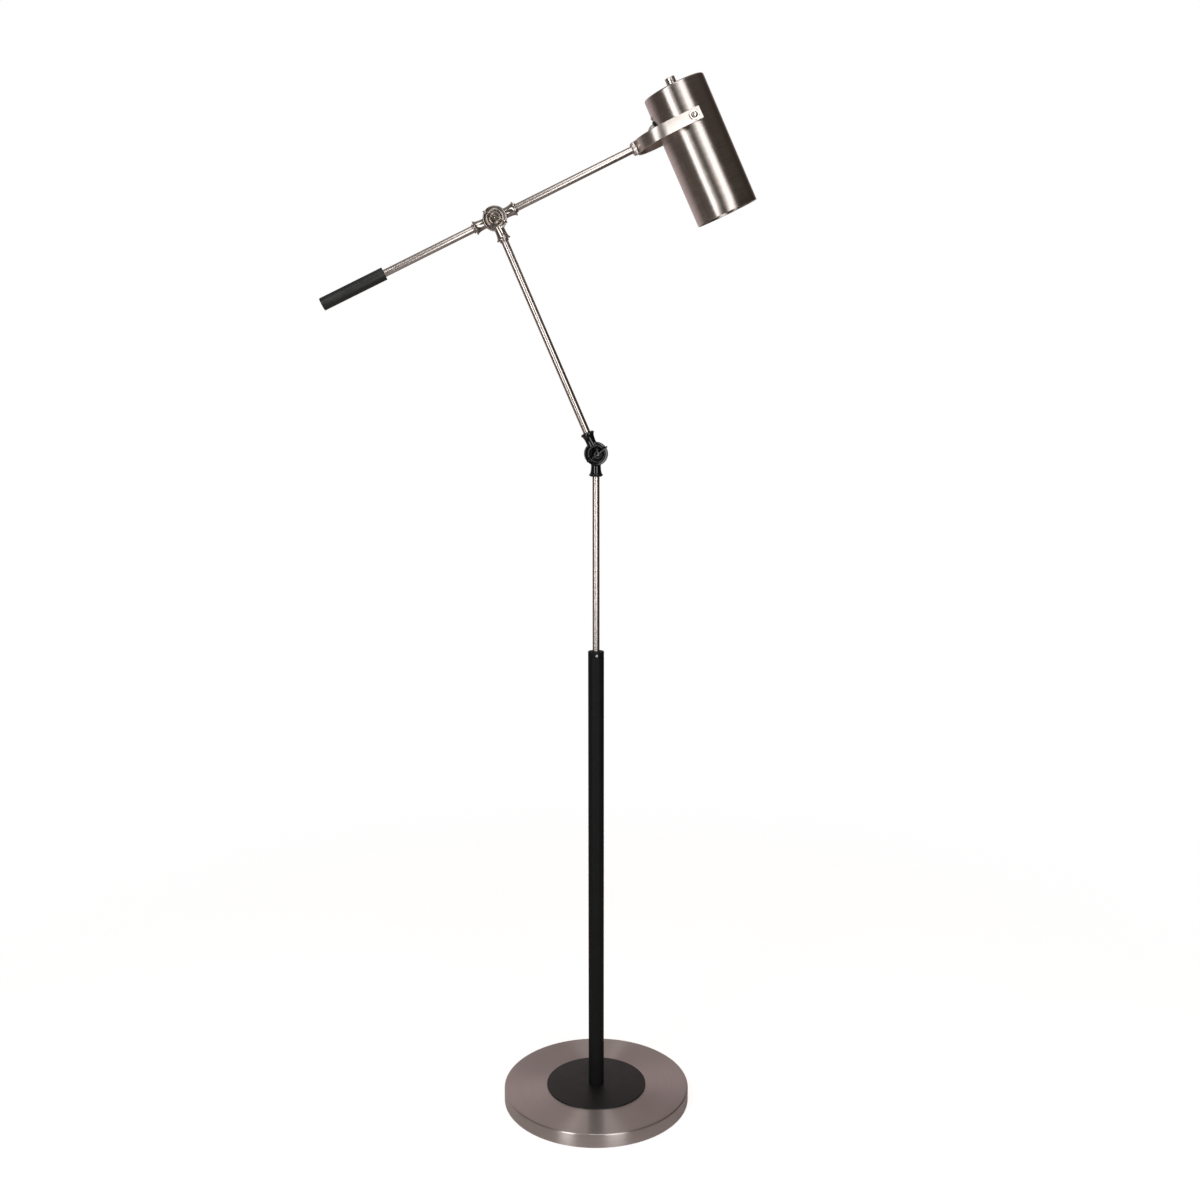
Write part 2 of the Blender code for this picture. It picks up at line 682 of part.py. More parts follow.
def clamp_key(name, material, parent, turn):
    """Build a turning key: a flat paddle on a screw that goes through both discs."""
    screw_tip = FLANGE_FACE - DISH_DEPTH + GAP + JOINT_NUT_HEIGHT + KEY_SCREW_TAIL
    seat = FLANGE_FACE - DISH_DEPTH + GAP
    paddle_root = KEY_STANDOFF + KEY_THICKNESS
    key = turned(name, [
        (0.0, paddle_root + KEY_DEPTH / 2),
        (KEY_BOSS_DIAMETER / 4, paddle_root + KEY_DEPTH / 2),
        (KEY_BOSS_DIAMETER / 2, paddle_root),
        (KEY_BOSS_DIAMETER / 2, seat),
        (KEY_SCREW_DIAMETER / 2, seat),
        (KEY_SCREW_DIAMETER / 2, -screw_tip),
        (0.0, -screw_tip),
    ], material, parent, (0, 0, 0), FACE_FRONT, SMALL_SIDES)
    key.rotation_euler = (math.pi / 2, -turn, 0.0)

    end_radius = KEY_DEPTH / 2
    reach = KEY_LENGTH / 2 - end_radius
    quarter = math.pi / 2
    outline = (arc((reach, 0.0), end_radius, -quarter, quarter, 8)
               + arc((-reach, 0.0), end_radius, quarter, 3 * quarter, 8))
    blade = tool(f"{name}_blade", plate_mesh(f"{name}_blade", outline, KEY_THICKNESS), parent)
    middle = KEY_STANDOFF + KEY_DEPTH / 2
    blade.location = (0.0, -middle, 0.0)
    blade.rotation_euler = (0.0, -turn, 0.0)
    join(key, blade)
    return key


def build_clamp(name, metal, parent, far_parent, front_directions, rear_directions, turn):
    """Build a whole clamp joint on the frame `parent`: two halves, a friction washer, a key and a nut.

    The front half belongs to the body of `parent`.  The rear half, with the nut that the key screws
    into, belongs to `far_parent`, whose axis is the same one.
    """
    names = JOINT_NAMES[name]
    clamp_half(names["front"], metal, parent, FACE_FRONT, front_directions)
    clamp_half(names["rear"], metal, far_parent, FACE_BACK, rear_directions)
    half_washer = FRICTION_WASHER_THICKNESS / 2
    turned(f"{name}_friction_washer",
           ring(FRICTION_WASHER_DIAMETER / 2, KEY_SCREW_FIT, -half_washer, half_washer), FINISH["fibre"],
           far_parent, (0, 0, 0), FACE_FRONT, ROD_SIDES)
    clamp_key(f"{name}_key", metal, far_parent, turn)
    seat = FLANGE_FACE - DISH_DEPTH + GAP
    nut(f"{name}_nut", JOINT_NUT_FLATS, JOINT_NUT_HEIGHT, KEY_SCREW_FIT, metal, far_parent,
        (0.0, seat, 0.0), FACE_BACK)



# ================================================================= arm
def build_arm(parent):
    """Build the two rods of the arm and the counterweight on the tail."""
    weight_start = ARM_TAIL - WEIGHT_ROD_LENGTH
    rod_end = weight_start + WEIGHT_ROD_SOCKET - GAP
    turned("arm_rear_rod", ring(ROD_RADIUS, ROD_BORE / 2, ROD_START, rod_end), FINISH["nickel"], parent,
           rotation=FACE_TAIL)
    edge = WEIGHT_ROD_EDGE
    radius = WEIGHT_ROD_DIAMETER / 2
    end_round = arc((radius - edge, ARM_TAIL - edge), edge, math.pi / 2, 0.0, 3)
    turned("counterweight", [
        (0.0, ARM_TAIL),
        *end_round,
        (radius, weight_start + edge / 3),
        (radius - edge / 3, weight_start),
        (ROD_FIT, weight_start),
        (ROD_FIT, weight_start + WEIGHT_ROD_SOCKET),
        (0.0, weight_start + WEIGHT_ROD_SOCKET),
    ], FINISH["matt_black"], parent, rotation=FACE_TAIL, sides=TUBE_SIDES)
    turned("arm_front_rod", ring(ROD_RADIUS, ROD_BORE / 2, ROD_START, ARM_REACH + ROD_TIP),
           FINISH["nickel"], parent, rotation=FACE_ALONG)


def fork_side(offset):
    """Return one face of the fork's upper strip from its tip to its root, `offset` outward from centre."""
    centre_line = (FORK_INNER + FORK_OUTER) / 2
    outer = FORK_BEND_RADIUS + offset
    bend = arc((-FORK_STRAIGHT, centre_line - FORK_BEND_RADIUS), outer, math.pi / 2,
               math.pi / 2 + FORK_BEND, 8)
    neck_y = FORK_ROOT_OFFSET + FORK_NECK_RADIUS
    drop = centre_line - FORK_ROOT_OFFSET
    arcs_drop = (FORK_BEND_RADIUS + FORK_NECK_RADIUS) * (1 - math.cos(FORK_BEND))
    arcs_run = (FORK_BEND_RADIUS + FORK_NECK_RADIUS) * math.sin(FORK_BEND)
    straight_run = (drop - arcs_drop) / math.tan(FORK_BEND)
    neck_x = -(FORK_STRAIGHT + arcs_run + straight_run)
    neck = arc((neck_x, neck_y), FORK_NECK_RADIUS - offset, -math.pi / 2 + FORK_BEND, -math.pi / 2, 5)
    return [(FORK_TIP, centre_line + offset), *bend, *neck]


def build_fork(parent):
    """Build the fork that holds the shade.  `parent` is a frame on the shade's pivot, along the arm."""
    half = FORK_THICKNESS / 2
    outer = fork_side(half)
    inner = [(x, y) for x, y in fork_side(-half) if x > HUB_FRONT - HUB_LENGTH / 2]
    outline = [
        *outer,
        *[(x, -y) for x, y in reversed(outer)],
        *[(x, -y) for x, y in inner],
        *reversed(inner),
    ]
    fork = piece("fork", plate_mesh("fork", outline, FORK_WIDTH), FINISH["nickel"], parent)
    hub = turned_tool("fork_hub", plug(HUB_DIAMETER / 2, -FORK_NECK, HUB_FRONT), parent,
                      rotation=FACE_ALONG, sides=ROD_SIDES)
    hub_bore = turned_tool("fork_bore", plug(ROD_FIT, -FORK_NECK - HUB_LENGTH, HUB_FRONT + HUB_LENGTH),
                           parent, rotation=FACE_ALONG, sides=SMALL_SIDES)
    pivot_hole = turned_tool("fork_pivot_hole",
                             plug(PIVOT_SCREW_DIAMETER / 2 + GAP, -2 * FORK_OUTER, 2 * FORK_OUTER),
                             parent, rotation=FACE_FRONT, sides=SMALL_SIDES)
    join(fork, hub)
    cut(fork, hub_bore, pivot_hole)
    nut("fork_lock_nut", FORK_NUT_FLATS, FORK_NUT_HEIGHT, ROD_FIT, FINISH["zinc"], parent,
        (HUB_FRONT + GAP, 0.0, 0.0), FACE_ALONG)


def build_pivots(parent):
    """Build the screw, spacer washer and nut on each side of the shade."""
    head_face = math.sqrt((SHADE_RADIUS - SHADE_WALL) ** 2 - (PIVOT_HEAD_DIAMETER / 2) ** 2) - GAP
    nut_seat = FORK_OUTER + GAP
    screw_end = nut_seat + PIVOT_NUT_HEIGHT + PIVOT_SCREW_TAIL
    screw_radius = PIVOT_SCREW_DIAMETER / 2
    dome = [
        (screw_radius * math.cos(t), screw_end - PIVOT_DOME_RISE * (1 - math.sin(t)))
        for t in (math.pi / 2, math.pi / 4, 0.0)
    ]
    for side, facing in (("near", FACE_FRONT), ("far", FACE_BACK)):
        turned(f"pivot_washer_{side}",
               ring(PIVOT_WASHER_DIAMETER / 2, screw_radius + GAP, WASHER_FACE,
                    WASHER_FACE + PIVOT_WASHER_THICKNESS),
               FINISH["fibre"], parent, rotation=facing, sides=SMALL_SIDES)
        turned(f"pivot_screw_{side}", [
            *dome,
            (screw_radius, head_face),
            (PIVOT_HEAD_DIAMETER / 2, head_face),
            (PIVOT_HEAD_DIAMETER / 2, head_face - PIVOT_HEAD_THICKNESS / 2),
            (PIVOT_HEAD_DIAMETER / 3, head_face - PIVOT_HEAD_THICKNESS),
            (0.0, head_face - PIVOT_HEAD_THICKNESS),
        ], FINISH["polished"], parent, rotation=facing, sides=SMALL_SIDES)
        nut(f"pivot_nut_{side}", PIVOT_NUT_FLATS, PIVOT_NUT_HEIGHT, screw_radius + GAP,
            FINISH["polished"], parent, (0.0, math.copysign(nut_seat, -facing[0]), 0.0), facing)


# ================================================================= shade
def build_shade(parent):
    """Build the shade, the grommet at its back and the bracket with its screw."""
    fillet = SHADE_EDGE_RADIUS
    bushing_hole = BUSHING_DIAMETER / 2 + GAP
    inner_radius = SHADE_RADIUS - SHADE_WALL
    inner_fillet = max(fillet - SHADE_WALL, SHADE_WALL / 2)
    ceiling = SHADE_TOP - SHADE_WALL
    shade = turned("shade", [
        (bushing_hole, SHADE_TOP),
        *arc((SHADE_RADIUS - fillet, SHADE_TOP - fillet), fillet, math.pi / 2, 0.0, 4),
        (SHADE_RADIUS, SHADE_BOTTOM),
        (inner_radius, SHADE_BOTTOM),
        *arc((inner_radius - inner_fillet, ceiling - inner_fillet), inner_fillet, 0.0, math.pi / 2, 2),
        (bushing_hole, ceiling),
    ], FINISH["nickel"], parent, sides=SHADE_SIDES)
    pivot_hole = turned_tool("shade_pivot_hole",
                             plug(PIVOT_SCREW_DIAMETER / 2 + GAP, -SHADE_DIAMETER, SHADE_DIAMETER),
                             parent, rotation=FACE_FRONT, sides=SMALL_SIDES)
    lead_hole = turned_tool("shade_lead_hole", plug(GROMMET_HOLE_RADIUS, 0.0, SHADE_DIAMETER), parent,
                            (0.0, 0.0, LEAD_HOLE_HEIGHT), FACE_TAIL, SMALL_SIDES)
    screw_hole = turned_tool("shade_screw_hole",
                             plug(BRACKET_SCREW_DIAMETER / 2 + GAP, 0.0, SHADE_DIAMETER), parent,
                             (0.0, 0.0, BRACKET_SCREW_HEIGHT), FACE_TAIL, SMALL_SIDES)
    cut(shade, pivot_hole, lead_hole, screw_hole)

    grommet_body = GROMMET_BORE_RADIUS + GROMMET_WALL
    grommet_lip = grommet_body + GROMMET_LIP
    sagitta = SHADE_RADIUS - math.sqrt(SHADE_RADIUS ** 2 - GROMMET_HOLE_RADIUS ** 2)
    inside_end = inner_radius - sagitta - GROMMET_LIP
    outside_face = SHADE_RADIUS + GAP
    turned("shade_grommet", [
        (grommet_lip - GROMMET_LIP / 2, outside_face + GROMMET_LIP),
        (grommet_lip, outside_face + GROMMET_LIP / 2),
        (grommet_lip, outside_face),
        (grommet_body, outside_face),
        (grommet_body, inside_end),
        (GROMMET_BORE_RADIUS, inside_end),
        (GROMMET_BORE_RADIUS, outside_face + GROMMET_LIP),
    ], FINISH["rubber"], parent, (0.0, 0.0, LEAD_HOLE_HEIGHT), FACE_TAIL, SMALL_SIDES)

    build_bracket(parent)


def build_bracket(parent):
    """Build the angle bracket that carries the lamp holder, with its screw and nut."""
    half = BRACKET_WIDTH / 2
    wall_back = -math.sqrt(BRACKET_BACK ** 2 - half ** 2)    # the flat upright inside the round wall
    front = wall_back + BRACKET_THICKNESS
    shelf_low = BRACKET_TOP - BRACKET_THICKNESS
    outline = [
        (wall_back, BRACKET_TOP),
        (wall_back, BRACKET_FOOT),
        (front, BRACKET_FOOT),
        (front, shelf_low),
        (BRACKET_TONGUE, shelf_low),
        (BRACKET_TONGUE, BRACKET_TOP),
    ]
    bracket = piece("holder_bracket", plate_mesh("holder_bracket", outline, BRACKET_WIDTH),
                    FINISH["zinc"], parent, rotation=FACE_FRONT)
    stud_hole = turned_tool("bracket_stud_hole",
                            plug(HOLDER_STUD_DIAMETER / 2 + GAP, shelf_low - GAP, BRACKET_TOP + GAP), parent,
                            sides=SMALL_SIDES)
    screw_hole = turned_tool("bracket_screw_hole",
                             plug(BRACKET_SCREW_DIAMETER / 2 + GAP, -front - GAP, SHADE_RADIUS), parent,
                             (0.0, 0.0, BRACKET_SCREW_HEIGHT), FACE_TAIL, SMALL_SIDES)
    cut(bracket, stud_hole, screw_hole)

    head_low = SHADE_RADIUS + GAP
    turned("bracket_screw", [
        (0.0, head_low + BRACKET_HEAD_THICKNESS),
        (BRACKET_HEAD_DIAMETER / 4, head_low + BRACKET_HEAD_THICKNESS),
        (BRACKET_HEAD_DIAMETER / 2, head_low + BRACKET_HEAD_THICKNESS / 3),
        (BRACKET_HEAD_DIAMETER / 2, head_low),
        (BRACKET_SCREW_DIAMETER / 2, head_low),
        (BRACKET_SCREW_DIAMETER / 2, -front - BRACKET_THICKNESS),
        (0.0, -front - BRACKET_THICKNESS),
    ], FINISH["polished"], parent, (0.0, 0.0, BRACKET_SCREW_HEIGHT), FACE_TAIL, SMALL_SIDES)


def build_switch(parent, knob_parent):
    """Build the rotary switch under the top of the shade, with its ring nut and knob."""
    body_high = SHADE_TOP - SHADE_WALL - GAP
    body_low = body_high - SWITCH_HEIGHT
    bushing_high = SHADE_TOP + BUSHING_HEIGHT
    knob_low = SHADE_TOP + GAP + SWITCH_NUT_HEIGHT + SLACK
    knob_high = knob_low + KNOB_HEIGHT
    stem_high = knob_high - KNOB_SKIN - GAP
    turned("switch_body", [
        (0.0, stem_high),
        (STEM_DIAMETER / 2, stem_high),
        (STEM_DIAMETER / 2, bushing_high),
        (BUSHING_DIAMETER / 2, bushing_high),
        (BUSHING_DIAMETER / 2, body_high),
        (SWITCH_DIAMETER / 2, body_high),
        (SWITCH_DIAMETER / 2, body_low),
        (0.0, body_low),
    ], FINISH["phenolic"], parent, sides=ROD_SIDES)
    turned("switch_nut", ring(SWITCH_NUT_DIAMETER / 2, BUSHING_DIAMETER / 2 + GAP, SHADE_TOP + GAP,
                              SHADE_TOP + GAP + SWITCH_NUT_HEIGHT),
           FINISH["polished"], parent, sides=ROD_SIDES)
    build_knob(knob_parent, knob_low, knob_high, bushing_high)


def build_knob(parent, low, high, bushing_high):
    """Build the fluted knob, hollowed over the bushing and drilled for the stem."""
    points = []
    count = 2 * KNOB_FLUTES
    for index in range(count):
        radius = KNOB_DIAMETER / 2 - KNOB_FLUTE_DEPTH * (index % 2)
        angle = 2 * math.pi * index / count
        points.append((radius * math.cos(angle), radius * math.sin(angle)))
    height = high - low
    knob = piece("switch_knob", plate_mesh("switch_knob", points, height), FINISH["polished"], parent,
                 (0.0, 0.0, (low + high) / 2))
    stem_roof = high - KNOB_SKIN
    hollow = turned_tool("knob_hollow", [
        (0.0, stem_roof),
        (STEM_DIAMETER / 2 + GAP, stem_roof),
        (STEM_DIAMETER / 2 + GAP, bushing_high + SLACK),
        (BUSHING_DIAMETER / 2 + SLACK, bushing_high + SLACK),
        (BUSHING_DIAMETER / 2 + SLACK, low - GAP),
        (0.0, low - GAP),
    ], parent, sides=SMALL_SIDES)
    cut(knob, hollow)


# ================================================================= lamp holder and bulb
def build_holder(parent):
    """Build the lamp holder under the bracket, its contacts, and the bulb in it."""
    shelf_low = BRACKET_TOP - BRACKET_THICKNESS
    top = shelf_low - GAP
    bottom = top - HOLDER_LENGTH
    ceiling = top - HOLDER_CEILING
    nut_low = BRACKET_TOP + GAP
    stud_high = nut_low + HOLDER_NUT_HEIGHT
    shoulder = HOLDER_SHOULDER_DIAMETER / 2
    turned("lamp_holder", [
        (0.0, stud_high),
        (HOLDER_STUD_DIAMETER / 2, stud_high),
        (HOLDER_STUD_DIAMETER / 2, top),
        (shoulder - HOLDER_STUD_DIAMETER / 4, top),
        (shoulder, top - HOLDER_STUD_DIAMETER / 4),
        (HOLDER_DIAMETER / 2, ceiling),
        (HOLDER_DIAMETER / 2, bottom),
        (HOLDER_BORE / 2, bottom),
        (HOLDER_BORE / 2, ceiling),
        (0.0, ceiling),
    ], FINISH["phenolic"], parent, sides=ROD_SIDES)
    nut("holder_nut", HOLDER_NUT_FLATS, HOLDER_NUT_HEIGHT, HOLDER_STUD_DIAMETER / 2 + GAP, FINISH["zinc"],
        parent, (0.0, 0.0, nut_low), (0, 0, 0))

    shell_outer = HOLDER_BORE / 2 - GAP
    shell_high = ceiling - GAP
    turned("contact_shell", ring(shell_outer, shell_outer - SHELL_WALL, shell_high - SHELL_LENGTH,
                                 shell_high),
           FINISH["brass"], parent, sides=ROD_SIDES)
    turned("centre_contact", plug(CONTACT_DIAMETER / 2, shell_high - CONTACT_HEIGHT, shell_high),
           FINISH["brass"], parent, sides=SMALL_SIDES)

    cap_high = shell_high - CONTACT_HEIGHT - GAP
    cap_low = cap_high - CAP_LENGTH
    cap_radius = CAP_DIAMETER / 2
    turned("bulb_cap", [
        (0.0, cap_high),
        (CONTACT_DIAMETER / 2, cap_high),
        (cap_radius, cap_high - CONTACT_DIAMETER),
        (cap_radius, cap_low),
        (cap_radius - CAP_WALL, cap_low),
        (cap_radius - CAP_WALL, cap_high - CONTACT_DIAMETER - CAP_WALL),
        (CONTACT_DIAMETER / 2, cap_high - 2 * CAP_WALL),
        (0.0, cap_high - 2 * CAP_WALL),
    ], FINISH["zinc"], parent, sides=ROD_SIDES)
    build_bulb(parent, cap_low - GAP)


def build_bulb(parent, top):
    """Build the pear-shaped glass, open at its neck and hanging from `top`."""
    neck = BULB_NECK_DIAMETER / 2
    belly = BULB_DIAMETER / 2
    rise = BULB_LENGTH - belly
    centre = top - rise
    shoulder = math.atan2(rise, neck) - math.acos(belly / math.hypot(rise, neck))
    turned("bulb_glass", [
        (neck, top),
        *arc((0.0, centre), belly, shoulder, -math.pi / 2, 10),
        *arc((0.0, centre), belly - BULB_WALL, -math.pi / 2, shoulder, 8),
        (neck - BULB_WALL, top),
    ], FINISH["glass"], parent, sides=ROD_SIDES)


# ================================================================= lead
def build_lead(parent):
    """Build the short lead from the arm's rod to the shade, in the frame along the arm at the pivot."""
    data = bpy.data.curves.new("head_lead", "CURVE")
    data.dimensions = "3D"
    data.bevel_depth = LEAD_DIAMETER / 2
    data.bevel_resolution = 2
    data.use_fill_caps = True
    route = smooth_route([Vector((along, 0.0, up)) for along, up in LEAD_ROUTE], 2)
    spline = data.splines.new("POLY")
    spline.points.add(len(route) - 1)
    for point, place_on_route in zip(spline.points, route):
        point.co = (*place_on_route, 1.0)
    lead = bpy.data.objects.new("head_lead", data)
    PARTS.objects.link(lead)
    data.materials.append(FINISH["clear"])
    lead.parent = parent


# ================================================================= whole lamp
def build_lamp():
    """Build every body on its own joint frame."""
    stand = body_frame("stand_frame")
    build_base(stand)
    build_pole(stand)

    knuckle = body_frame("knuckle_frame", (0.0, 0.0, KNUCKLE_HEIGHT), 0.0, stand)
    post = body_frame("post_frame", (0.0, 0.0, 0.0), -POST_LEAN, knuckle)
    build_clamp("knuckle", FINISH["gloss_black"], post, knuckle, [(0.0, 0.0, 0.0)], [FACE_DOWN],
                KNUCKLE_KEY_TURN)
    turned("post_rod", ring(ROD_RADIUS, ROD_BORE / 2, ROD_START, POST_LENGTH - ROD_START),
           FINISH["nickel"], post)

    stem = body_frame("stem_frame", (0.0, 0.0, POST_LENGTH), 0.0, post)
    arm = body_frame("arm_frame", (0.0, 0.0, 0.0), POST_LEAN - ARM_RISE, stem)
    build_clamp("cross", FINISH["nickel"], stem, arm, [FACE_DOWN], [FACE_ALONG, FACE_TAIL],
                CROSS_KEY_TURN - ARM_RISE)
    build_arm(arm)

    head = body_frame("head_frame", (ARM_REACH, 0.0, 0.0), 0.0, arm)
    build_fork(head)
    build_pivots(head)
    build_lead(head)

    shade = body_frame("shade_frame", (0.0, 0.0, 0.0), ARM_RISE - SHADE_TILT, head)
    build_shade(shade)
    build_switch(shade, shade)
    build_holder(shade)


clear_scene()
PARTS = new_collection("pharmacy_floor_lamp")
CUTTERS = new_collection("cutters")
FINISH = make_materials()
build_lamp()
for part in [obj for obj in PARTS.objects if obj.type == "MESH"]:
    settle(part)
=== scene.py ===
"""Looks of the pharmacy floor lamp: fine pieces, finishes, studio and camera.

Every size is in metres.  The lamp stands on the origin, +Z up, its head towards +X and its turning
keys towards -Y.  Each sub-assembly is a class that makes its pieces and hands them to the frame.
"""

import json
import logging
import math
from collections.abc import Callable, Iterator, Sequence
from contextlib import contextmanager
from dataclasses import dataclass, replace
from enum import Enum

import bpy
from mathutils import Euler, Matrix, Vector

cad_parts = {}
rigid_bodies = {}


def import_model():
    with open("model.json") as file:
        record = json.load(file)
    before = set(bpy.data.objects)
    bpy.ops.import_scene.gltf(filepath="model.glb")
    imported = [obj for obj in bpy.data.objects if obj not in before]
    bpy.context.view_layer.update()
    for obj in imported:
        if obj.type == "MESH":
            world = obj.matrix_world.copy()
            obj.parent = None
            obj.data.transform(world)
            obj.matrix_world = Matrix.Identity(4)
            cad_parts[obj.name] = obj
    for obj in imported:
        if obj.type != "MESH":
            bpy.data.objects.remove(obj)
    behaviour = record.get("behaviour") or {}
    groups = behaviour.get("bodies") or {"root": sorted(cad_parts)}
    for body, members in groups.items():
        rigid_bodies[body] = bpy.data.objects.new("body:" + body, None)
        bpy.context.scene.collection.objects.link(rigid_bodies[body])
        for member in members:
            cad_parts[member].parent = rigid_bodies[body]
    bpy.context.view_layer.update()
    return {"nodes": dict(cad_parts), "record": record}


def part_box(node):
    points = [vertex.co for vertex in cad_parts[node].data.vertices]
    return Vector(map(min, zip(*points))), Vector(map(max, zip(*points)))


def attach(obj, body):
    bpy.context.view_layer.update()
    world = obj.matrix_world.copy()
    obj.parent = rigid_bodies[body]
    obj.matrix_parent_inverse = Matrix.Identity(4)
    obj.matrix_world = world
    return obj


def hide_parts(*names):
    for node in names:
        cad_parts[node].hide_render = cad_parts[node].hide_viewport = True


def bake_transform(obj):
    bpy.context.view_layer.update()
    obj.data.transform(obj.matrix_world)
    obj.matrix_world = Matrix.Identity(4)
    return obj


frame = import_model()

LOG = logging.getLogger("pharmacy_floor_lamp")

Point = tuple[float, float]
Colour = tuple[float, float, float]

GAP = 0.0003                    # between pieces that touch
MERGE = 0.000002                # points nearer than this are one
ROD_SIDES = 64
JOINT_SIDES = 96
SHADE_SIDES = 192
BASE_SIDES = 256
SMALL_SIDES = 48
SMOOTH_ANGLE = math.radians(32.0)
QUARTER = math.pi / 2
SOFT = 0.0003                   # radius of a small part's softened edges
PAST = 0.01                     # how far a drill stands out of what it drills
NUT_CHAMFER = 0.16              # share of a nut's height
NUT_FACE = 0.97                 # share of a nut's flats that its face keeps
NUT_SINK = 1.12                 # share of a nut's bore at its countersinks
NUT_EDGE = 0.00015
STREAK_SHARE = 0.22             # share of the tool lines that slower streaks have
MOTTLE_SHARE = 0.02             # share of the pebbles that a slow mottle has
WIPE_SHARE = 7.0                # how much finer wipe marks are than patches

JOINTS = {joint["name"]: joint for joint in frame["record"]["behaviour"]["joints"]}
SLOT_OF = {part["node"]: part["material_slot"] for part in frame["record"]["subparts"]}
BODY_OF = {
    node: body for body, nodes in frame["record"]["behaviour"]["bodies"].items() for node in nodes
}


# ================================================================= places
class Facing(Enum):
    """Which way a piece's own +Z looks, as turns about X and Y in degrees."""

    UP = (0.0, 0.0)
    DOWN = (180.0, 0.0)
    FRONT = (90.0, 0.0)
    BACK = (-90.0, 0.0)
    ALONG = (0.0, 90.0)
    TAIL = (0.0, -90.0)

    def matrix(self) -> Matrix:
        """Return the turn as a matrix."""
        about_x, about_y = self.value
        return Euler((math.radians(about_x), math.radians(about_y), 0.0)).to_matrix().to_4x4()


@dataclass(frozen=True)
class Seat:
    """A place in the lamp: an origin, a lean about Y, and the way local +Z looks after that."""

    name: str
    origin: tuple[float, float, float]
    lean: float = 0.0
    facing: Facing = Facing.UP

    def matrix(self) -> Matrix:
        """Return the seat as a matrix."""
        lean = Matrix.Rotation(self.lean, 4, "Y")
        return Matrix.Translation(self.origin) @ lean @ self.facing.matrix()

    def facing_to(self, facing: Facing) -> "Seat":
        """Return the same seat with its local +Z looking another way."""
        return replace(self, name=f"{self.name} {facing.name.lower()}", facing=facing)

    def shifted(self, x: float = 0.0, y: float = 0.0, z: float = 0.0) -> "Seat":
        """Return the same seat, moved along its own leaning axes.

        Args:
            x: Distance along the seat's X before it faces another way.
            y: Distance along Y.
            z: Distance along the seat's Z before it faces another way.

        Returns:
            The moved seat.
        """
        step = Matrix.Rotation(self.lean, 3, "Y") @ Vector((x, y, z))
        return replace(self, origin=tuple(Vector(self.origin) + step))


KNUCKLE = Vector(JOINTS["knuckle_tilt"]["pos_m"])
CROSS = Vector(JOINTS["arm_tilt"]["pos_m"])
PIVOT = Vector(JOINTS["shade_tilt"]["pos_m"])
SHADE_AXIS = Vector(JOINTS["switch_turn"]["axis"])
POST_LENGTH = (CROSS - KNUCKLE).length
ARM_REACH = (PIVOT - CROSS).length
POST_LEAN = -math.atan2(KNUCKLE.x - CROSS.x, CROSS.z - KNUCKLE.z)
ARM_LEAN = -math.atan2(PIVOT.z - CROSS.z, PIVOT.x - CROSS.x)
SHADE_LEAN = -math.atan2(-SHADE_AXIS.x, SHADE_AXIS.z)

FLOOR_SEAT = Seat("floor", (0.0, 0.0, 0.0))
KNUCKLE_SEAT = Seat("knuckle", tuple(KNUCKLE))
POST_SEAT = Seat("post", tuple(KNUCKLE), POST_LEAN)
STEM_SEAT = Seat("stem", tuple(CROSS), POST_LEAN)
ARM_SEAT = Seat("arm", tuple(CROSS), ARM_LEAN)
HEAD_SEAT = Seat("head", tuple(PIVOT), ARM_LEAN)
SHADE_SEAT = Seat("shade", tuple(PIVOT), SHADE_LEAN)


def reach(node: str, axis: int) -> float:
    """Return how far a node's box goes from the lamp's middle along an axis.

    Args:
        node: A CAD node's name.
        axis: 0, 1 or 2 for X, Y or Z.

    Returns:
        The larger of the two distances from zero, in metres.
    """
    low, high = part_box(node)
    return max(abs(low[axis]), abs(high[axis]))


# ================================================================= modelling by hand
def let_go() -> None:
    """Leave edit mode and select nothing."""
    if bpy.context.object is not None and bpy.context.object.mode != "OBJECT":
        bpy.ops.object.mode_set(mode="OBJECT")
    for other in bpy.context.view_layer.objects:
        other.select_set(False)


def pick(obj: bpy.types.Object) -> None:
    """Select one object only and make it the active one."""
    let_go()
    obj.select_set(True)
    bpy.context.view_layer.objects.active = obj


@contextmanager
def editing(obj: bpy.types.Object, mode: str = "VERT") -> Iterator[None]:
    """Hold an object in edit mode with everything selected.

    Args:
        obj: The object to edit.
        mode: What is selected: VERT, EDGE or FACE.

    Yields:
        Nothing; the operators act on the object meanwhile.
    """
    pick(obj)
    bpy.ops.object.mode_set(mode="EDIT")
    bpy.ops.mesh.select_mode(type=mode)
    bpy.ops.mesh.select_all(action="SELECT")
    yield
    bpy.ops.object.mode_set(mode="OBJECT")


def choose_faces(obj: bpy.types.Object, wanted: Callable[[bpy.types.MeshPolygon], bool]) -> None:
    """Select, in an object that is being edited, only the faces that answer a test.

    Args:
        obj: The object in edit mode.
        wanted: A test on a face.
    """
    bpy.ops.mesh.select_all(action="DESELECT")
    bpy.ops.object.mode_set(mode="OBJECT")
    for face in obj.data.polygons:
        face.select = wanted(face)
    bpy.ops.object.mode_set(mode="EDIT")


def choose_edges(obj: bpy.types.Object, wanted: Callable[[Vector, Vector], bool]) -> None:
    """Select, in an object that is being edited, only the edges whose two ends answer a test.

    Args:
        obj: The object in edit mode.
        wanted: A test on an edge's two end points.
    """
    bpy.ops.mesh.select_all(action="DESELECT")
    bpy.ops.object.mode_set(mode="OBJECT")
    points = obj.data.vertices
    for edge in obj.data.edges:
        edge.select = wanted(*(points[index].co for index in edge.vertices))
    bpy.ops.object.mode_set(mode="EDIT")


def tidy_mesh() -> None:
    """Merge double points and turn all faces outwards, in edit mode."""
    bpy.ops.mesh.select_all(action="SELECT")
    bpy.ops.mesh.remove_doubles(threshold=MERGE)
    bpy.ops.mesh.normals_make_consistent(inside=False)


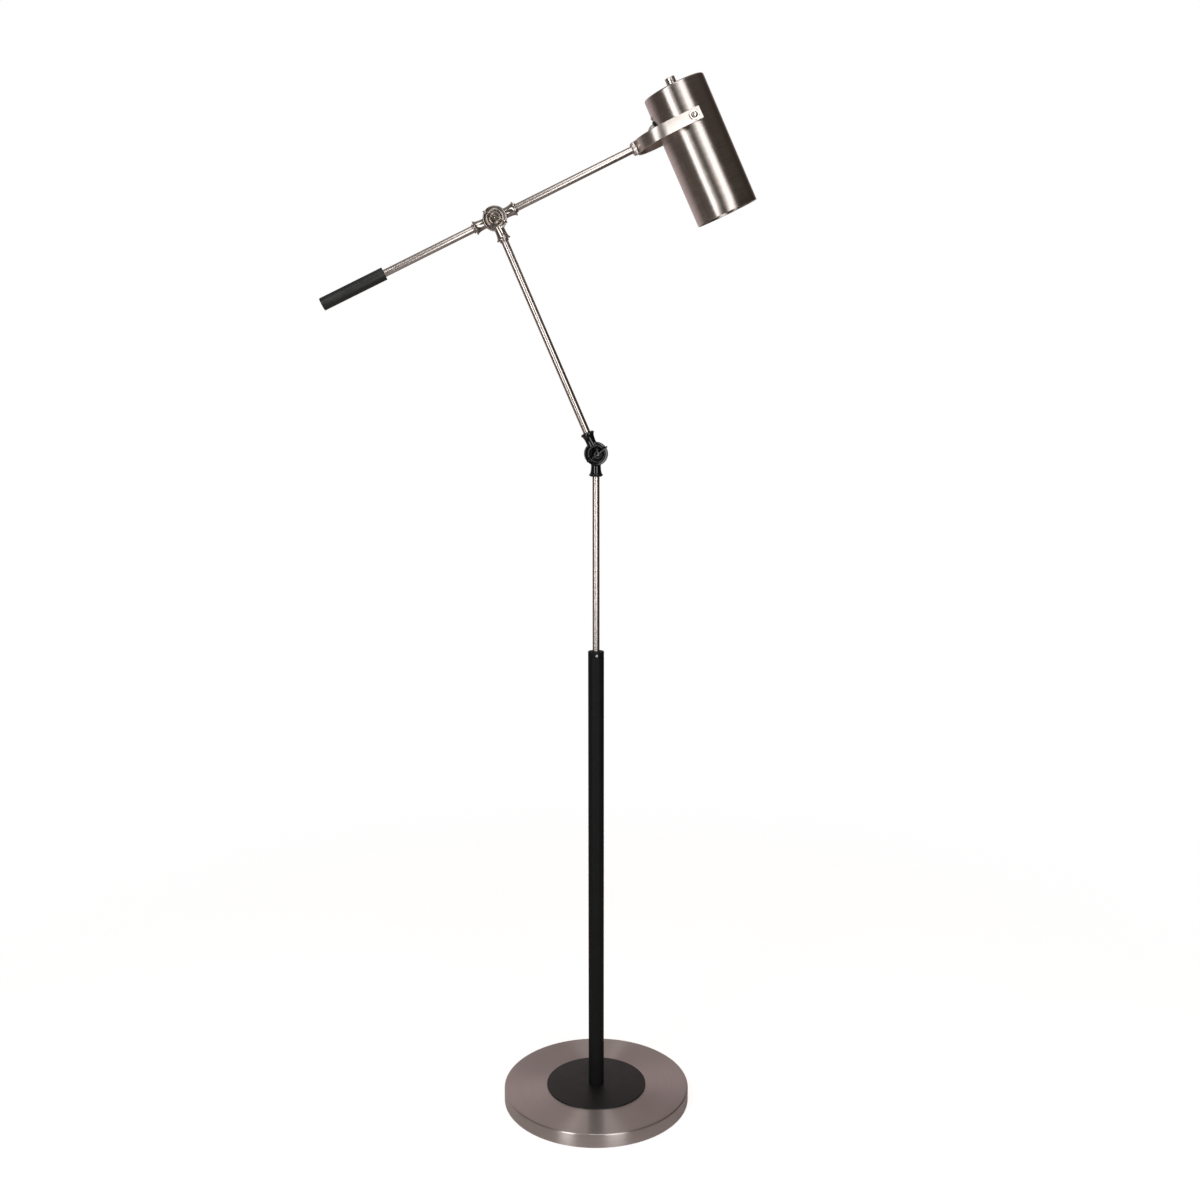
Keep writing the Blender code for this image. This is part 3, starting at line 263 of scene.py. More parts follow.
def traced(name: str, points: Sequence[Vector], closed: bool) -> bpy.types.Object:
    """Draw a chain of edges, point after point.

    Args:
        name: The new object's name.
        points: The chain's points.
        closed: Whether the chain returns to its first point.

    Returns:
        The object, with the chain as its mesh.
    """
    let_go()
    bpy.ops.mesh.primitive_circle_add(vertices=3, radius=GAP)
    obj = bpy.context.object
    obj.name = obj.data.name = name
    route = [*points, points[0]] if closed else list(points)
    with editing(obj):
        bpy.ops.mesh.merge(type="CENTER")
        bpy.ops.transform.translate(value=route[0])
        for start, end in zip(route, route[1:]):
            bpy.ops.mesh.extrude_region_move(TRANSFORM_OT_translate={"value": end - start})
    return obj


def turned(name: str, profile: Sequence[Point], sides: int, seat: Seat = FLOOR_SEAT,
           hollow: bool = False) -> bpy.types.Object:
    """Turn a section of (radius, height) points about a seat's own Z.

    Args:
        name: The new object's name.
        profile: The section, from one end to the other.
        sides: How many steps go round.
        seat: Where the turned piece sits.
        hollow: Whether the section closes on itself, as for a tube.

    Returns:
        The closed, placed object.
    """
    points = [Vector((radius, 0.0, height)) for radius, height in profile]
    obj = traced(name, points, hollow)
    with editing(obj):
        bpy.ops.mesh.spin(steps=sides, angle=2 * math.pi, center=(0, 0, 0), axis=(0, 0, 1))
        tidy_mesh()
    settle(obj, seat)
    return obj


def plate(name: str, outline: Sequence[Point], low: float, high: float, seat: Seat = FLOOR_SEAT,
          edge: float = 0.0, segments: int = 3) -> bpy.types.Object:
    """Cut a flat outline out of sheet and round its edges.

    Args:
        name: The new object's name.
        outline: The outline's points in the seat's XY plane.
        low: The lower face.
        high: The upper face.
        seat: Where the plate sits.
        edge: Radius of the rounded edges.
        segments: Steps of each rounded edge.

    Returns:
        The closed, placed object.
    """
    obj = traced(name, [Vector((x, y, low)) for x, y in outline], True)
    with editing(obj):
        bpy.ops.mesh.remove_doubles(threshold=MERGE)
        bpy.ops.mesh.edge_face_add()
        bpy.ops.mesh.extrude_region_move(TRANSFORM_OT_translate={"value": (0.0, 0.0, high - low)})
        tidy_mesh()
    if edge > 0.0:
        rounded(obj, edge, segments)
    settle(obj, seat)
    return obj


def rounded(obj: bpy.types.Object, width: float, segments: int = 3,
            angle: float = math.radians(30.0)) -> None:
    """Round the sharp edges of an object.

    Args:
        obj: The object.
        width: How far the rounding reaches from the edge.
        segments: Steps of the rounding.
        angle: Only edges sharper than this are rounded.
    """
    bevel = obj.modifiers.new("rounded edges", "BEVEL")
    bevel.width = width
    bevel.segments = segments
    bevel.limit_method = "ANGLE"
    bevel.angle_limit = angle
    bevel.miter_outer = "MITER_ARC"
    pick(obj)
    bpy.ops.object.modifier_apply(modifier=bevel.name)


def settle(obj: bpy.types.Object, seat: Seat) -> None:
    """Put an object's seat into its mesh, so that the object itself stays at the origin."""
    pick(obj)
    obj.matrix_world = seat.matrix()
    bpy.ops.object.transform_apply(location=True, rotation=True, scale=True)


def combine(obj: bpy.types.Object, others: Sequence[bpy.types.Object], operation: str) -> None:
    """Cut an object with others, weld them to it, or keep what they share.

    Args:
        obj: The object that is kept.
        others: The helpers, which are used up.
        operation: DIFFERENCE, UNION or INTERSECT.
    """
    for other in others:
        modifier = obj.modifiers.new(operation.lower(), "BOOLEAN")
        modifier.operation = operation
        modifier.solver = "EXACT"
        modifier.object = other
        pick(obj)
        bpy.ops.object.modifier_apply(modifier=modifier.name)
        bpy.data.objects.remove(other, do_unlink=True)
    with editing(obj):
        bpy.ops.mesh.remove_doubles(threshold=MERGE)


def arc(centre: Point, radius: float, start: float, end: float, steps: int) -> list[Point]:
    """Return points on an arc, both ends included.

    Args:
        centre: The arc's centre.
        radius: Its radius.
        start: The first angle, in radians.
        end: The last angle, in radians.
        steps: How many steps lie between them.

    Returns:
        The points in order.
    """
    return oval(centre, radius, radius, start, end, steps)


def oval(centre: Point, wide: float, high: float, start: float, end: float,
         steps: int) -> list[Point]:
    """Return points on part of an ellipse, both ends included.

    Args:
        centre: The ellipse's centre.
        wide: Its half width.
        high: Its half height.
        start: The first angle, in radians.
        end: The last angle, in radians.
        steps: How many steps lie between them.

    Returns:
        The points in order.
    """
    turn = (end - start) / steps
    angles = [start + turn * i for i in range(steps + 1)]
    return [(centre[0] + wide * math.cos(a), centre[1] + high * math.sin(a)) for a in angles]


def stepped(start: float, end: float, steps: int) -> list[float]:
    """Return evenly spaced values, both ends included."""
    return [start + (end - start) * i / steps for i in range(steps + 1)]


def plug(name: str, radius: float, high: float, low: float, seat: Seat,
         sides: int = SMALL_SIDES) -> bpy.types.Object:
    """Turn a plain cylinder to drill or cut with.

    Args:
        name: The new object's name.
        radius: Its radius.
        high: Its upper end on the seat's Z.
        low: Its lower end.
        seat: Where it sits.
        sides: How many steps go round.

    Returns:
        The cylinder.
    """
    return turned(name, [(0.0, high), (radius, high), (radius, low), (0.0, low)], sides, seat)


def ring(name: str, bore: float, radius: float, high: float, low: float, seat: Seat,
         segments: int) -> bpy.types.Object:
    """Turn a flat ring with softened edges, such as a washer.

    Args:
        name: The new object's name.
        bore: Radius of the hole.
        radius: Outer radius.
        high: Its upper face on the seat's Z.
        low: Its lower face.
        seat: Where it sits.
        segments: Steps of each rounded edge.

    Returns:
        The ring.
    """
    section = [(bore, high), (radius, high), (radius, low), (bore, low)]
    piece = turned(name, section, SMALL_SIDES, seat, hollow=True)
    rounded(piece, SOFT, segments)
    return piece


def rod(name: str, radius: float, bore: float, low: float, high: float,
        seat: Seat) -> bpy.types.Object:
    """Cut a length of tube and break its ends' edges.

    Args:
        name: The new object's name.
        radius: Outer radius.
        bore: Inner radius.
        low: Where it starts on the seat's Z.
        high: Where it ends.
        seat: Where it sits.

    Returns:
        The tube.
    """
    edge = (radius - bore) / 4
    section = [
        (bore, high),
        *arc((radius - edge, high - edge), edge, QUARTER, 0.0, 4),
        *arc((radius - edge, low + edge), edge, 0.0, -QUARTER, 4),
        (bore, low),
    ]
    return turned(name, section, ROD_SIDES, seat, hollow=True)


def hex_nut(name: str, flats: float, height: float, bore: float, seat: Seat) -> bpy.types.Object:
    """Make a hexagon nut with chamfered corners and a countersunk bore.

    Args:
        name: The new object's name.
        flats: Width across the flats.
        height: Thickness.
        bore: Radius of the hole.
        seat: The nut's seat; it stands up from there.

    Returns:
        The nut.
    """
    corner = flats / math.sqrt(3)
    let_go()
    bpy.ops.mesh.primitive_cylinder_add(vertices=6, radius=corner, depth=height,
                                        location=(0.0, 0.0, height / 2))
    nut = bpy.context.object
    nut.name = nut.data.name = name
    chamfer = height * NUT_CHAMFER
    lathe = turned(f"{name}_lathe", [
        (0.0, height),
        (flats / 2 * NUT_FACE, height),
        (corner + GAP, height - chamfer),
        (corner + GAP, 0.0),
        (0.0, 0.0),
    ], SMALL_SIDES)
    combine(nut, [lathe], "INTERSECT")
    sink = bore * NUT_SINK
    drill = turned(f"{name}_drill", [
        (0.0, height + GAP),
        (sink + GAP, height + GAP),
        (bore, height - (sink - bore)),
        (bore, sink - bore),
        (sink + GAP, -GAP),
        (0.0, -GAP),
    ], SMALL_SIDES)
    combine(nut, [drill], "DIFFERENCE")
    rounded(nut, NUT_EDGE, 2, math.radians(25.0))
    settle(nut, seat)
    return nut


# ================================================================= node trees
class Graph:
    """A node tree, with short ways to add nodes and join them."""

    def __init__(self, tree: bpy.types.NodeTree) -> None:
        """Start from a tree."""
        self.tree = tree

    def add(self, kind: str, inputs: dict | None = None, **settings: object) -> bpy.types.Node:
        """Add a node.

        Args:
            kind: The node's Blender type.
            inputs: Values or sockets for its inputs, by name or number.
            **settings: Properties of the node.

        Returns:
            The node.
        """
        node = self.tree.nodes.new(kind)
        for key, value in settings.items():
            setattr(node, key, value)
        for key, value in (inputs or {}).items():
            self.feed(node.inputs[key], value)
        return node

    def feed(self, socket: bpy.types.NodeSocket, value: object) -> None:
        """Join a socket to another one, or give it a plain value."""
        if isinstance(value, bpy.types.NodeSocket):
            self.tree.links.new(value, socket)
        else:
            socket.default_value = value

    def math(self, operation: str, *values: object) -> bpy.types.NodeSocket:
        """Return the result of a Math node on the given values."""
        return self.add("ShaderNodeMath", dict(enumerate(values)), operation=operation).outputs[0]

    def vector(self, operation: str, *values: object) -> bpy.types.NodeSocket:
        """Return the vector result of a Vector Math node on the given values."""
        node = self.add("ShaderNodeVectorMath", dict(enumerate(values)), operation=operation)
        return node.outputs[0]

    def noise(self, place: bpy.types.NodeSocket, scale: object, detail: float = 2.0,
              rough: float = 0.5) -> bpy.types.NodeSocket:
        """Return the grey value of a noise texture.

        Args:
            place: The coordinates that it is read at.
            scale: Its scale, a number or a socket.
            detail: How many finer layers it has.
            rough: How strong those layers are.

        Returns:
            The noise, from 0 to 1.
        """
        node = self.add("ShaderNodeTexNoise",
                        {"Vector": place, "Scale": scale, "Detail": detail, "Roughness": rough})
        return node.outputs[0]

    def spread(self, value: object, low: float, high: float, to_low: float = 0.0,
               to_high: float = 1.0) -> bpy.types.NodeSocket:
        """Return a value stretched smoothly from one range to another.

        Args:
            value: The value to stretch.
            low: Start of its range.
            high: End of its range.
            to_low: What the start becomes.
            to_high: What the end becomes.

        Returns:
            The new value.
        """
        node = self.add("ShaderNodeMapRange", {0: value, 1: low, 2: high, 3: to_low, 4: to_high},
                        interpolation_type="SMOOTHSTEP")
        return node.outputs[0]

    def tint(self, factor: object, dark: Colour, light: Colour) -> bpy.types.NodeSocket:
        """Return a colour between two others.

        Args:
            factor: 0 for the first colour, 1 for the second.
            dark: The first colour.
            light: The second colour.

        Returns:
            The mixed colour.
        """
        node = self.add("ShaderNodeMix", {0: factor, 6: (*dark, 1.0), 7: (*light, 1.0)},
                        data_type="RGBA")
        return node.outputs[2]

    def at_seat(self, seat: Seat) -> bpy.types.NodeSocket:
        """Return object coordinates measured from a seat, along its own axes."""
        place = self.add("ShaderNodeTexCoord").outputs["Object"]
        turn = seat.matrix().to_euler()
        node = self.add("ShaderNodeMapping",
                        {"Vector": place, "Location": seat.origin, "Rotation": tuple(turn)},
                        vector_type="TEXTURE")
        return node.outputs[0]

    def group(self, tree: bpy.types.NodeTree, **inputs: object) -> bpy.types.Node:
        """Add a shader group with its own input values."""
        node = self.add("ShaderNodeGroup", node_tree=tree)
        for name, value in inputs.items():
            self.feed(node.inputs[name.replace("_", " ")], value)
        return node


@dataclass(frozen=True)
class Effect:
    """A shader group that several finishes share, made when it is first asked for."""

    name: str
    inputs: tuple[tuple[str, str, float], ...]
    outputs: tuple[str, ...]
    build: Callable[[Graph, bpy.types.Node], tuple[bpy.types.NodeSocket, ...]]

    def tree(self) -> bpy.types.NodeTree:
        """Return the group's node tree."""
        if self.name in bpy.data.node_groups:
            return bpy.data.node_groups[self.name]
        tree = bpy.data.node_groups.new(self.name, "ShaderNodeTree")
        for name, kind, value in self.inputs:
            socket = tree.interface.new_socket(name, in_out="INPUT", socket_type=kind)
            if kind == NUMBER:
                socket.default_value = value
        for name in self.outputs:
            tree.interface.new_socket(name, in_out="OUTPUT", socket_type=NUMBER)
        graph = Graph(tree)
        source = graph.add("NodeGroupInput")
        drain = graph.add("NodeGroupOutput")
        for name, value in zip(self.outputs, self.build(graph, source)):
            graph.feed(drain.inputs[name], value)
        return tree


def turned_grain(graph: Graph, source: bpy.types.Node) -> tuple[bpy.types.NodeSocket, ...]:
    """Lay fine circular tool lines round a turned piece's axis.

    Args:
        graph: The group's tree.
        source: The group's inputs.

    Returns:
        The lines' height and a slower streak, both from 0 to 1.
    """
    flat = graph.vector("MULTIPLY", source.outputs["Place"], (1.0, 1.0, 0.0))
    radius = graph.add("ShaderNodeVectorMath", {0: flat}, operation="LENGTH").outputs["Value"]
    height = graph.add("ShaderNodeSeparateXYZ", {0: source.outputs["Place"]}).outputs["Z"]
    run = graph.math("ADD", radius, height)
    way = graph.vector("NORMALIZE", flat)
    round_it = graph.add("ShaderNodeVectorMath", {0: way}, operation="SCALE")
    graph.feed(round_it.inputs["Scale"], source.outputs["Drift"])
    values = []
    for share in (1.0, STREAK_SHARE):
        step = graph.math("MULTIPLY", run, graph.math("MULTIPLY", source.outputs["Lines"], share))
        along = graph.add("ShaderNodeCombineXYZ", {2: step}).outputs[0]
        values.append(graph.noise(graph.vector("ADD", round_it.outputs[0], along), 1.0, 3.0, 0.6))
    return values[0], graph.spread(values[1], 0.3, 0.7)


def straight_grain(graph: Graph, source: bpy.types.Node) -> tuple[bpy.types.NodeSocket, ...]:
    """Lay fine straight brush lines along a piece's own X.

    Args:
        graph: The group's tree.
        source: The group's inputs.

    Returns:
        The lines' height and a slower streak, both from 0 to 1.
    """
    parts = graph.add("ShaderNodeSeparateXYZ", {0: source.outputs["Place"]})
    run = graph.math("MULTIPLY", parts.outputs["X"], source.outputs["Drift"])
    values = []
    for share in (1.0, STREAK_SHARE):
        lines = graph.math("MULTIPLY", source.outputs["Lines"], share)
        across = graph.math("MULTIPLY", parts.outputs["Y"], lines)
        up = graph.math("MULTIPLY", parts.outputs["Z"], lines)
        place = graph.add("ShaderNodeCombineXYZ", {0: run, 1: across, 2: up}).outputs[0]
        values.append(graph.noise(place, 1.0, 3.0, 0.6))
    return values[0], graph.spread(values[1], 0.3, 0.7)


def sprayed_coat(graph: Graph, source: bpy.types.Node) -> tuple[bpy.types.NodeSocket, ...]:
    """Give the pebbled skin of a sprayed or moulded surface.

    Args:
        graph: The group's tree.
        source: The group's inputs.

    Returns:
        The skin's height and a slow mottle, both from 0 to 1.
    """
    place = source.outputs["Place"]
    pebbles = graph.noise(place, source.outputs["Pebbles"], 2.0, 0.55)
    slow = graph.math("MULTIPLY", source.outputs["Pebbles"], MOTTLE_SHARE)
    mottle = graph.noise(place, slow, 3.0, 0.6)
    return pebbles, graph.spread(mottle, 0.35, 0.65)


def handling(graph: Graph, source: bpy.types.Node) -> tuple[bpy.types.NodeSocket, ...]:
    """Give the faint uneven film that hands and cloths leave on metal.

    Args:
        graph: The group's tree.
        source: The group's inputs.

    Returns:
        The film, from 0 where it is clean to 1.
    """
    place = source.outputs["Place"]
    patch = graph.spread(graph.noise(place, source.outputs["Patches"], 4.0, 0.6), 0.48, 0.72)
    fine = graph.math("MULTIPLY", source.outputs["Patches"], WIPE_SHARE)
    wipe = graph.noise(place, fine, 3.0, 0.7)
    return (graph.math("MULTIPLY", patch, wipe),)


NUMBER = "NodeSocketFloat"
PLACE = ("Place", "NodeSocketVector", 0.0)
LINES = ("Lines", NUMBER, 4000.0)
TURNED_GRAIN = Effect("Turned grain", (PLACE, LINES, ("Drift", NUMBER, 1.5)),
                      ("Height", "Streak"), turned_grain)
STRAIGHT_GRAIN = Effect("Straight grain", (PLACE, LINES, ("Drift", NUMBER, 40.0)),
                        ("Height", "Streak"), straight_grain)
SPRAYED_COAT = Effect("Sprayed coat", (PLACE, ("Pebbles", NUMBER, 2500.0)),
                      ("Height", "Mottle"), sprayed_coat)
HANDLING = Effect("Handling film", (PLACE, ("Patches", NUMBER, 18.0)), ("Film",), handling)


# ================================================================= finishes
class Lay(Enum):
    """Which way a brushed surface's lines run."""

    ROUND = "round the axis"
    STRAIGHT = "along the piece"


@dataclass(frozen=True)
class Finish:
    """What every finish shares: a name and one material for each seat that it is used on."""

    name: str

    def on(self, seat: Seat) -> bpy.types.Material:
        """Return this finish's material for a seat, made when it is first asked for."""
        label = f"{self.name}, {seat.name}"
        if label in bpy.data.materials:
            return bpy.data.materials[label]
        material = bpy.data.materials.new(label)
        material.use_nodes = True
        graph = Graph(material.node_tree)
        shader = material.node_tree.nodes["Principled BSDF"]
        self.build(graph, shader, graph.at_seat(seat), seat)
        return material

    def build(self, graph: Graph, shader: bpy.types.Node, place: bpy.types.NodeSocket,
              seat: Seat) -> None:
        """Wire the finish into a material's shader; each kind of finish has its own way."""
        raise NotImplementedError


def set_values(shader: bpy.types.Node, **values: object) -> None:
    """Set plain numbers or colours on a shader's own sockets."""
    for name, value in values.items():
        shader.inputs[name.replace("_", " ")].default_value = value


def between(graph: Graph, factor: bpy.types.NodeSocket, low: float,
            high: float) -> bpy.types.NodeSocket:
    """Return a value that goes from `low` to `high` with a factor."""
    return graph.math("MULTIPLY_ADD", factor, high - low, low)


def bump(graph: Graph, height: bpy.types.NodeSocket, strength: float, depth: float,
         shader: bpy.types.Node) -> None:
    """Feed a shader's Normal from a height.

    Args:
        graph: The material's tree.
        height: The height, from 0 to 1.
        strength: How strongly it shows.
        depth: The real depth of the relief, in metres.
        shader: The shader.
    """
    node = graph.add("ShaderNodeBump", {"Height": height, "Strength": strength, "Distance": depth})
    graph.feed(shader.inputs["Normal"], node.outputs[0])


@dataclass(frozen=True)
class BrushedMetal(Finish):
    """Plated metal with tool lines that stretch its highlights across them."""

    dark: Colour = (0.56, 0.50, 0.465)
    light: Colour = (0.66, 0.60, 0.565)
    smooth: float = 0.30
    rough: float = 0.345
    stretch: float = 0.90
    lines: float = 4000.0
    drift: float = 1.5
    depth: float = 0.000012
    strength: float = 0.12
    lay: Lay = Lay.ROUND

    def build(self, graph: Graph, shader: bpy.types.Node, place: bpy.types.NodeSocket,
              seat: Seat) -> None:
        """Wire the lines, the film and the stretched highlights.

        Args:
            graph: The material's tree.
            shader: Its Principled shader.
            place: Coordinates at the seat.
            seat: The seat.
        """
        effect = TURNED_GRAIN if self.lay is Lay.ROUND else STRAIGHT_GRAIN
        grain = graph.group(effect.tree(), Place=place, Lines=self.lines, Drift=self.drift)
        film = graph.group(HANDLING.tree(), Place=place).outputs["Film"]
        streak = grain.outputs["Streak"]
        graph.feed(shader.inputs["Base Color"], graph.tint(streak, self.dark, self.light))
        even = between(graph, streak, self.smooth, self.rough)
        graph.feed(shader.inputs["Roughness"], graph.math("MULTIPLY_ADD", film, 0.05, even))
        bump(graph, grain.outputs["Height"], self.strength, self.depth, shader)
        set_values(shader, Metallic=1.0, Anisotropic=self.stretch, Anisotropic_Rotation=0.25)
        graph.feed(shader.inputs["Tangent"], self.line_direction(graph, place, seat))

    def line_direction(self, graph: Graph, place: bpy.types.NodeSocket,
                       seat: Seat) -> bpy.types.NodeSocket:
        """Return the way the lines run, as a direction in the world.

        Args:
            graph: The material's tree.
            place: Coordinates at the seat.
            seat: The seat.

        Returns:
            The direction.
        """
        if self.lay is Lay.ROUND:
            local = graph.vector("CROSS_PRODUCT", (0.0, 0.0, 1.0), place)
            turn = tuple(seat.matrix().to_euler())
            way = graph.add("ShaderNodeMapping", {"Vector": local, "Rotation": turn},
                            vector_type="VECTOR").outputs[0]
        else:
            way = tuple(seat.matrix().to_3x3() @ Vector((1.0, 0.0, 0.0)))
        world = graph.add("ShaderNodeVectorTransform", {0: way}, vector_type="VECTOR",
                          convert_from="OBJECT", convert_to="WORLD")
        return graph.vector("NORMALIZE", world.outputs[0])


@dataclass(frozen=True)
class PlainMetal(Finish):
    """Metal with no lay: plated castings, polished and zinc-plated hardware, brass and iron."""

    dark: Colour = (0.56, 0.50, 0.465)
    light: Colour = (0.66, 0.60, 0.565)
    smooth: float = 0.18
    rough: float = 0.26
    pebbles: float = 1800.0
    depth: float = 0.00001
    strength: float = 0.15

    def build(self, graph: Graph, shader: bpy.types.Node, place: bpy.types.NodeSocket,
              seat: Seat) -> None:
        """Wire the skin, its mottle and the film."""
        coat = graph.group(SPRAYED_COAT.tree(), Place=place, Pebbles=self.pebbles)
        film = graph.group(HANDLING.tree(), Place=place, Patches=60.0).outputs["Film"]
        mottle = coat.outputs["Mottle"]
        graph.feed(shader.inputs["Base Color"], graph.tint(mottle, self.dark, self.light))
        even = between(graph, mottle, self.smooth, self.rough)
        graph.feed(shader.inputs["Roughness"], graph.math("MULTIPLY_ADD", film, 0.06, even))
        bump(graph, coat.outputs["Height"], self.strength, self.depth, shader)
        set_values(shader, Metallic=1.0)


@dataclass(frozen=True)
class Coat(Finish):
    """Paint, rubber, foam, fibre or moulded resin."""

    dark: Colour = (0.010, 0.010, 0.010)
    light: Colour = (0.014, 0.014, 0.0145)
    smooth: float = 0.45
    rough: float = 0.55
    pebbles: float = 2500.0
    depth: float = 0.00005
    strength: float = 0.25
    specular: float = 0.5
    bending: float = 1.5

    def build(self, graph: Graph, shader: bpy.types.Node, place: bpy.types.NodeSocket,
              seat: Seat) -> None:
        """Wire the skin and its mottle."""
        coat = graph.group(SPRAYED_COAT.tree(), Place=place, Pebbles=self.pebbles)
        mottle = coat.outputs["Mottle"]
        graph.feed(shader.inputs["Base Color"], graph.tint(mottle, self.dark, self.light))
        graph.feed(shader.inputs["Roughness"], between(graph, mottle, self.smooth, self.rough))
        bump(graph, coat.outputs["Height"], self.strength, self.depth, shader)
        set_values(shader, Specular_IOR_Level=self.specular, IOR=self.bending)


@dataclass(frozen=True)
class Glassy(Finish):
    """Clear vinyl or frosted glass."""

    dark: Colour = (0.86, 0.86, 0.84)
    light: Colour = (0.95, 0.95, 0.93)
    smooth: float = 0.08
    rough: float = 0.16
    clearness: float = 1.0
    bending: float = 1.45
    pebbles: float = 1200.0

    def build(self, graph: Graph, shader: bpy.types.Node, place: bpy.types.NodeSocket,
              seat: Seat) -> None:
        """Wire the skin, its mottle and the clearness."""
        coat = graph.group(SPRAYED_COAT.tree(), Place=place, Pebbles=self.pebbles)
        mottle = coat.outputs["Mottle"]
        graph.feed(shader.inputs["Base Color"], graph.tint(mottle, self.dark, self.light))
        graph.feed(shader.inputs["Roughness"], between(graph, mottle, self.smooth, self.rough))
        bump(graph, coat.outputs["Height"], 0.1, 0.00002, shader)
        set_values(shader, Transmission_Weight=self.clearness, IOR=self.bending)


BASE_NICKEL = BrushedMetal("Turned nickel, base", lines=5000.0, dark=(0.600, 0.540, 0.520),
                           light=(0.635, 0.575, 0.555), smooth=0.32, rough=0.345, stretch=0.96,
                           strength=0.08)
SHADE_NICKEL = BrushedMetal("Turned nickel, shade", lines=3500.0)
ROD_NICKEL = BrushedMetal("Drawn nickel rod", lines=1500.0, dark=(0.69, 0.63, 0.59),
                          light=(0.73, 0.67, 0.63), smooth=0.27, rough=0.29, stretch=0.30,
                          strength=0.01)
FORK_NICKEL = BrushedMetal("Brushed nickel strip", lay=Lay.STRAIGHT, smooth=0.34, rough=0.39,
                           stretch=0.75, drift=60.0, dark=(0.61, 0.55, 0.515),
                           light=(0.71, 0.65, 0.61))
CAST_NICKEL = PlainMetal("Satin nickel casting", dark=(0.50, 0.455, 0.415),
                         light=(0.60, 0.55, 0.505), smooth=0.18, rough=0.22, pebbles=900.0,
                         strength=0.03)
BRIGHT_NICKEL = PlainMetal("Polished nickel", dark=(0.68, 0.63, 0.59), light=(0.76, 0.71, 0.67),
                           smooth=0.16, rough=0.20, pebbles=900.0, strength=0.03)
ZINC = PlainMetal("Zinc plating", dark=(0.50, 0.51, 0.52), light=(0.64, 0.65, 0.67), smooth=0.26,
                  rough=0.38)
BRASS = PlainMetal("Plain brass", dark=(0.62, 0.44, 0.18), light=(0.75, 0.56, 0.27), smooth=0.22,
                   rough=0.34)
IRON = PlainMetal("Cast iron", dark=(0.05, 0.05, 0.05), light=(0.11, 0.105, 0.10), smooth=0.62,
                  rough=0.8, pebbles=700.0, depth=0.0004, strength=0.6)
POWDER_BLACK = Coat("Matt black powder coat", dark=(0.0085, 0.0087, 0.0088),
                    light=(0.0115, 0.0117, 0.012), smooth=0.44, rough=0.50)
TUBE_BLACK = Coat("Flat black powder coat", dark=(0.0080, 0.0082, 0.0084),
                  light=(0.0100, 0.0102, 0.0105), smooth=0.54, rough=0.60, specular=0.15)
SATIN_BLACK = Coat("Satin black powder coat", dark=(0.016, 0.016, 0.016),
                   light=(0.022, 0.022, 0.022), smooth=0.42, rough=0.50)
ENAMEL_BLACK = Coat("Gloss black enamel", dark=(0.004, 0.004, 0.0042), light=(0.006, 0.006, 0.0062),
                    smooth=0.08, rough=0.10, pebbles=500.0, depth=0.00002, strength=0.02,
                    specular=0.7, bending=1.5)
PHENOLIC = Coat("Black moulded resin", dark=(0.010, 0.010, 0.010), light=(0.016, 0.015, 0.014),
                smooth=0.30, rough=0.42, depth=0.00002)
RUBBER = Coat("Black rubber", dark=(0.012, 0.012, 0.012), light=(0.022, 0.022, 0.021), smooth=0.6,
              rough=0.75)
FOAM = Coat("Closed-cell foam", dark=(0.014, 0.014, 0.014), light=(0.035, 0.034, 0.034), smooth=0.85,
            rough=0.97, pebbles=1500.0, depth=0.0002, strength=0.6)
FIBRE = Coat("Pressed fibre", dark=(0.030, 0.024, 0.018), light=(0.060, 0.048, 0.036), smooth=0.7,
             rough=0.85, pebbles=3000.0)
CLEAR_VINYL = Glassy("Clear vinyl")
FROSTED = Glassy("Frosted glass", dark=(0.90, 0.89, 0.86), light=(0.94, 0.93, 0.91), smooth=0.34,
                 rough=0.42, clearness=0.35)
TINNED = PlainMetal("Tinned braid", dark=(0.55, 0.55, 0.54), light=(0.82, 0.82, 0.80), smooth=0.25,
                    rough=0.4, pebbles=2600.0, depth=0.0003, strength=0.5)

SLOT_FINISH = {
    "nickel": CAST_NICKEL, "polished": BRIGHT_NICKEL, "matt_black": POWDER_BLACK,
    "gloss_black": ENAMEL_BLACK, "iron": IRON, "zinc": ZINC, "fibre": FIBRE, "foam": FOAM,
    "rubber": RUBBER, "phenolic": PHENOLIC, "brass_slot": BRASS, "clear": CLEAR_VINYL,
    "bulb": FROSTED,
}


# ================================================================= handing over
def hand_over(piece: bpy.types.Object, node: str, finish: Finish, seat: Seat,
              smooth: float = SMOOTH_ANGLE) -> bpy.types.Object:
    """Dress a finished piece, put it on its body and let it stand for its CAD node.

    Args:
        piece: The finished piece, in place.
        node: The CAD node that it stands for.
        finish: Its finish.
        seat: The seat that the finish is laid out on.
        smooth: Edges sharper than this stay sharp.

    Returns:
        The piece.
    """
    pick(piece)
    bpy.ops.object.shade_smooth_by_angle(angle=smooth)
    piece.data.materials.clear()
    piece.data.materials.append(finish.on(seat))
    piece.name = piece.data.name = f"{node}_fine"
    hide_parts(node)
    if node != "head_lead":
        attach(piece, BODY_OF[node])
    LOG.info("%-28s %6d faces, on %s", piece.name, len(piece.data.polygons), BODY_OF[node])
    return piece


def dress_node(node: str, seat: Seat) -> None:
    """Give a CAD node that stays its slot's finish, laid out on a seat."""
    obj = frame["nodes"][node]
    obj.data.materials.clear()
    obj.data.materials.append(SLOT_FINISH[SLOT_OF[node]].on(seat))
    LOG.info("%-28s kept as it is, on %s", node, BODY_OF[node])


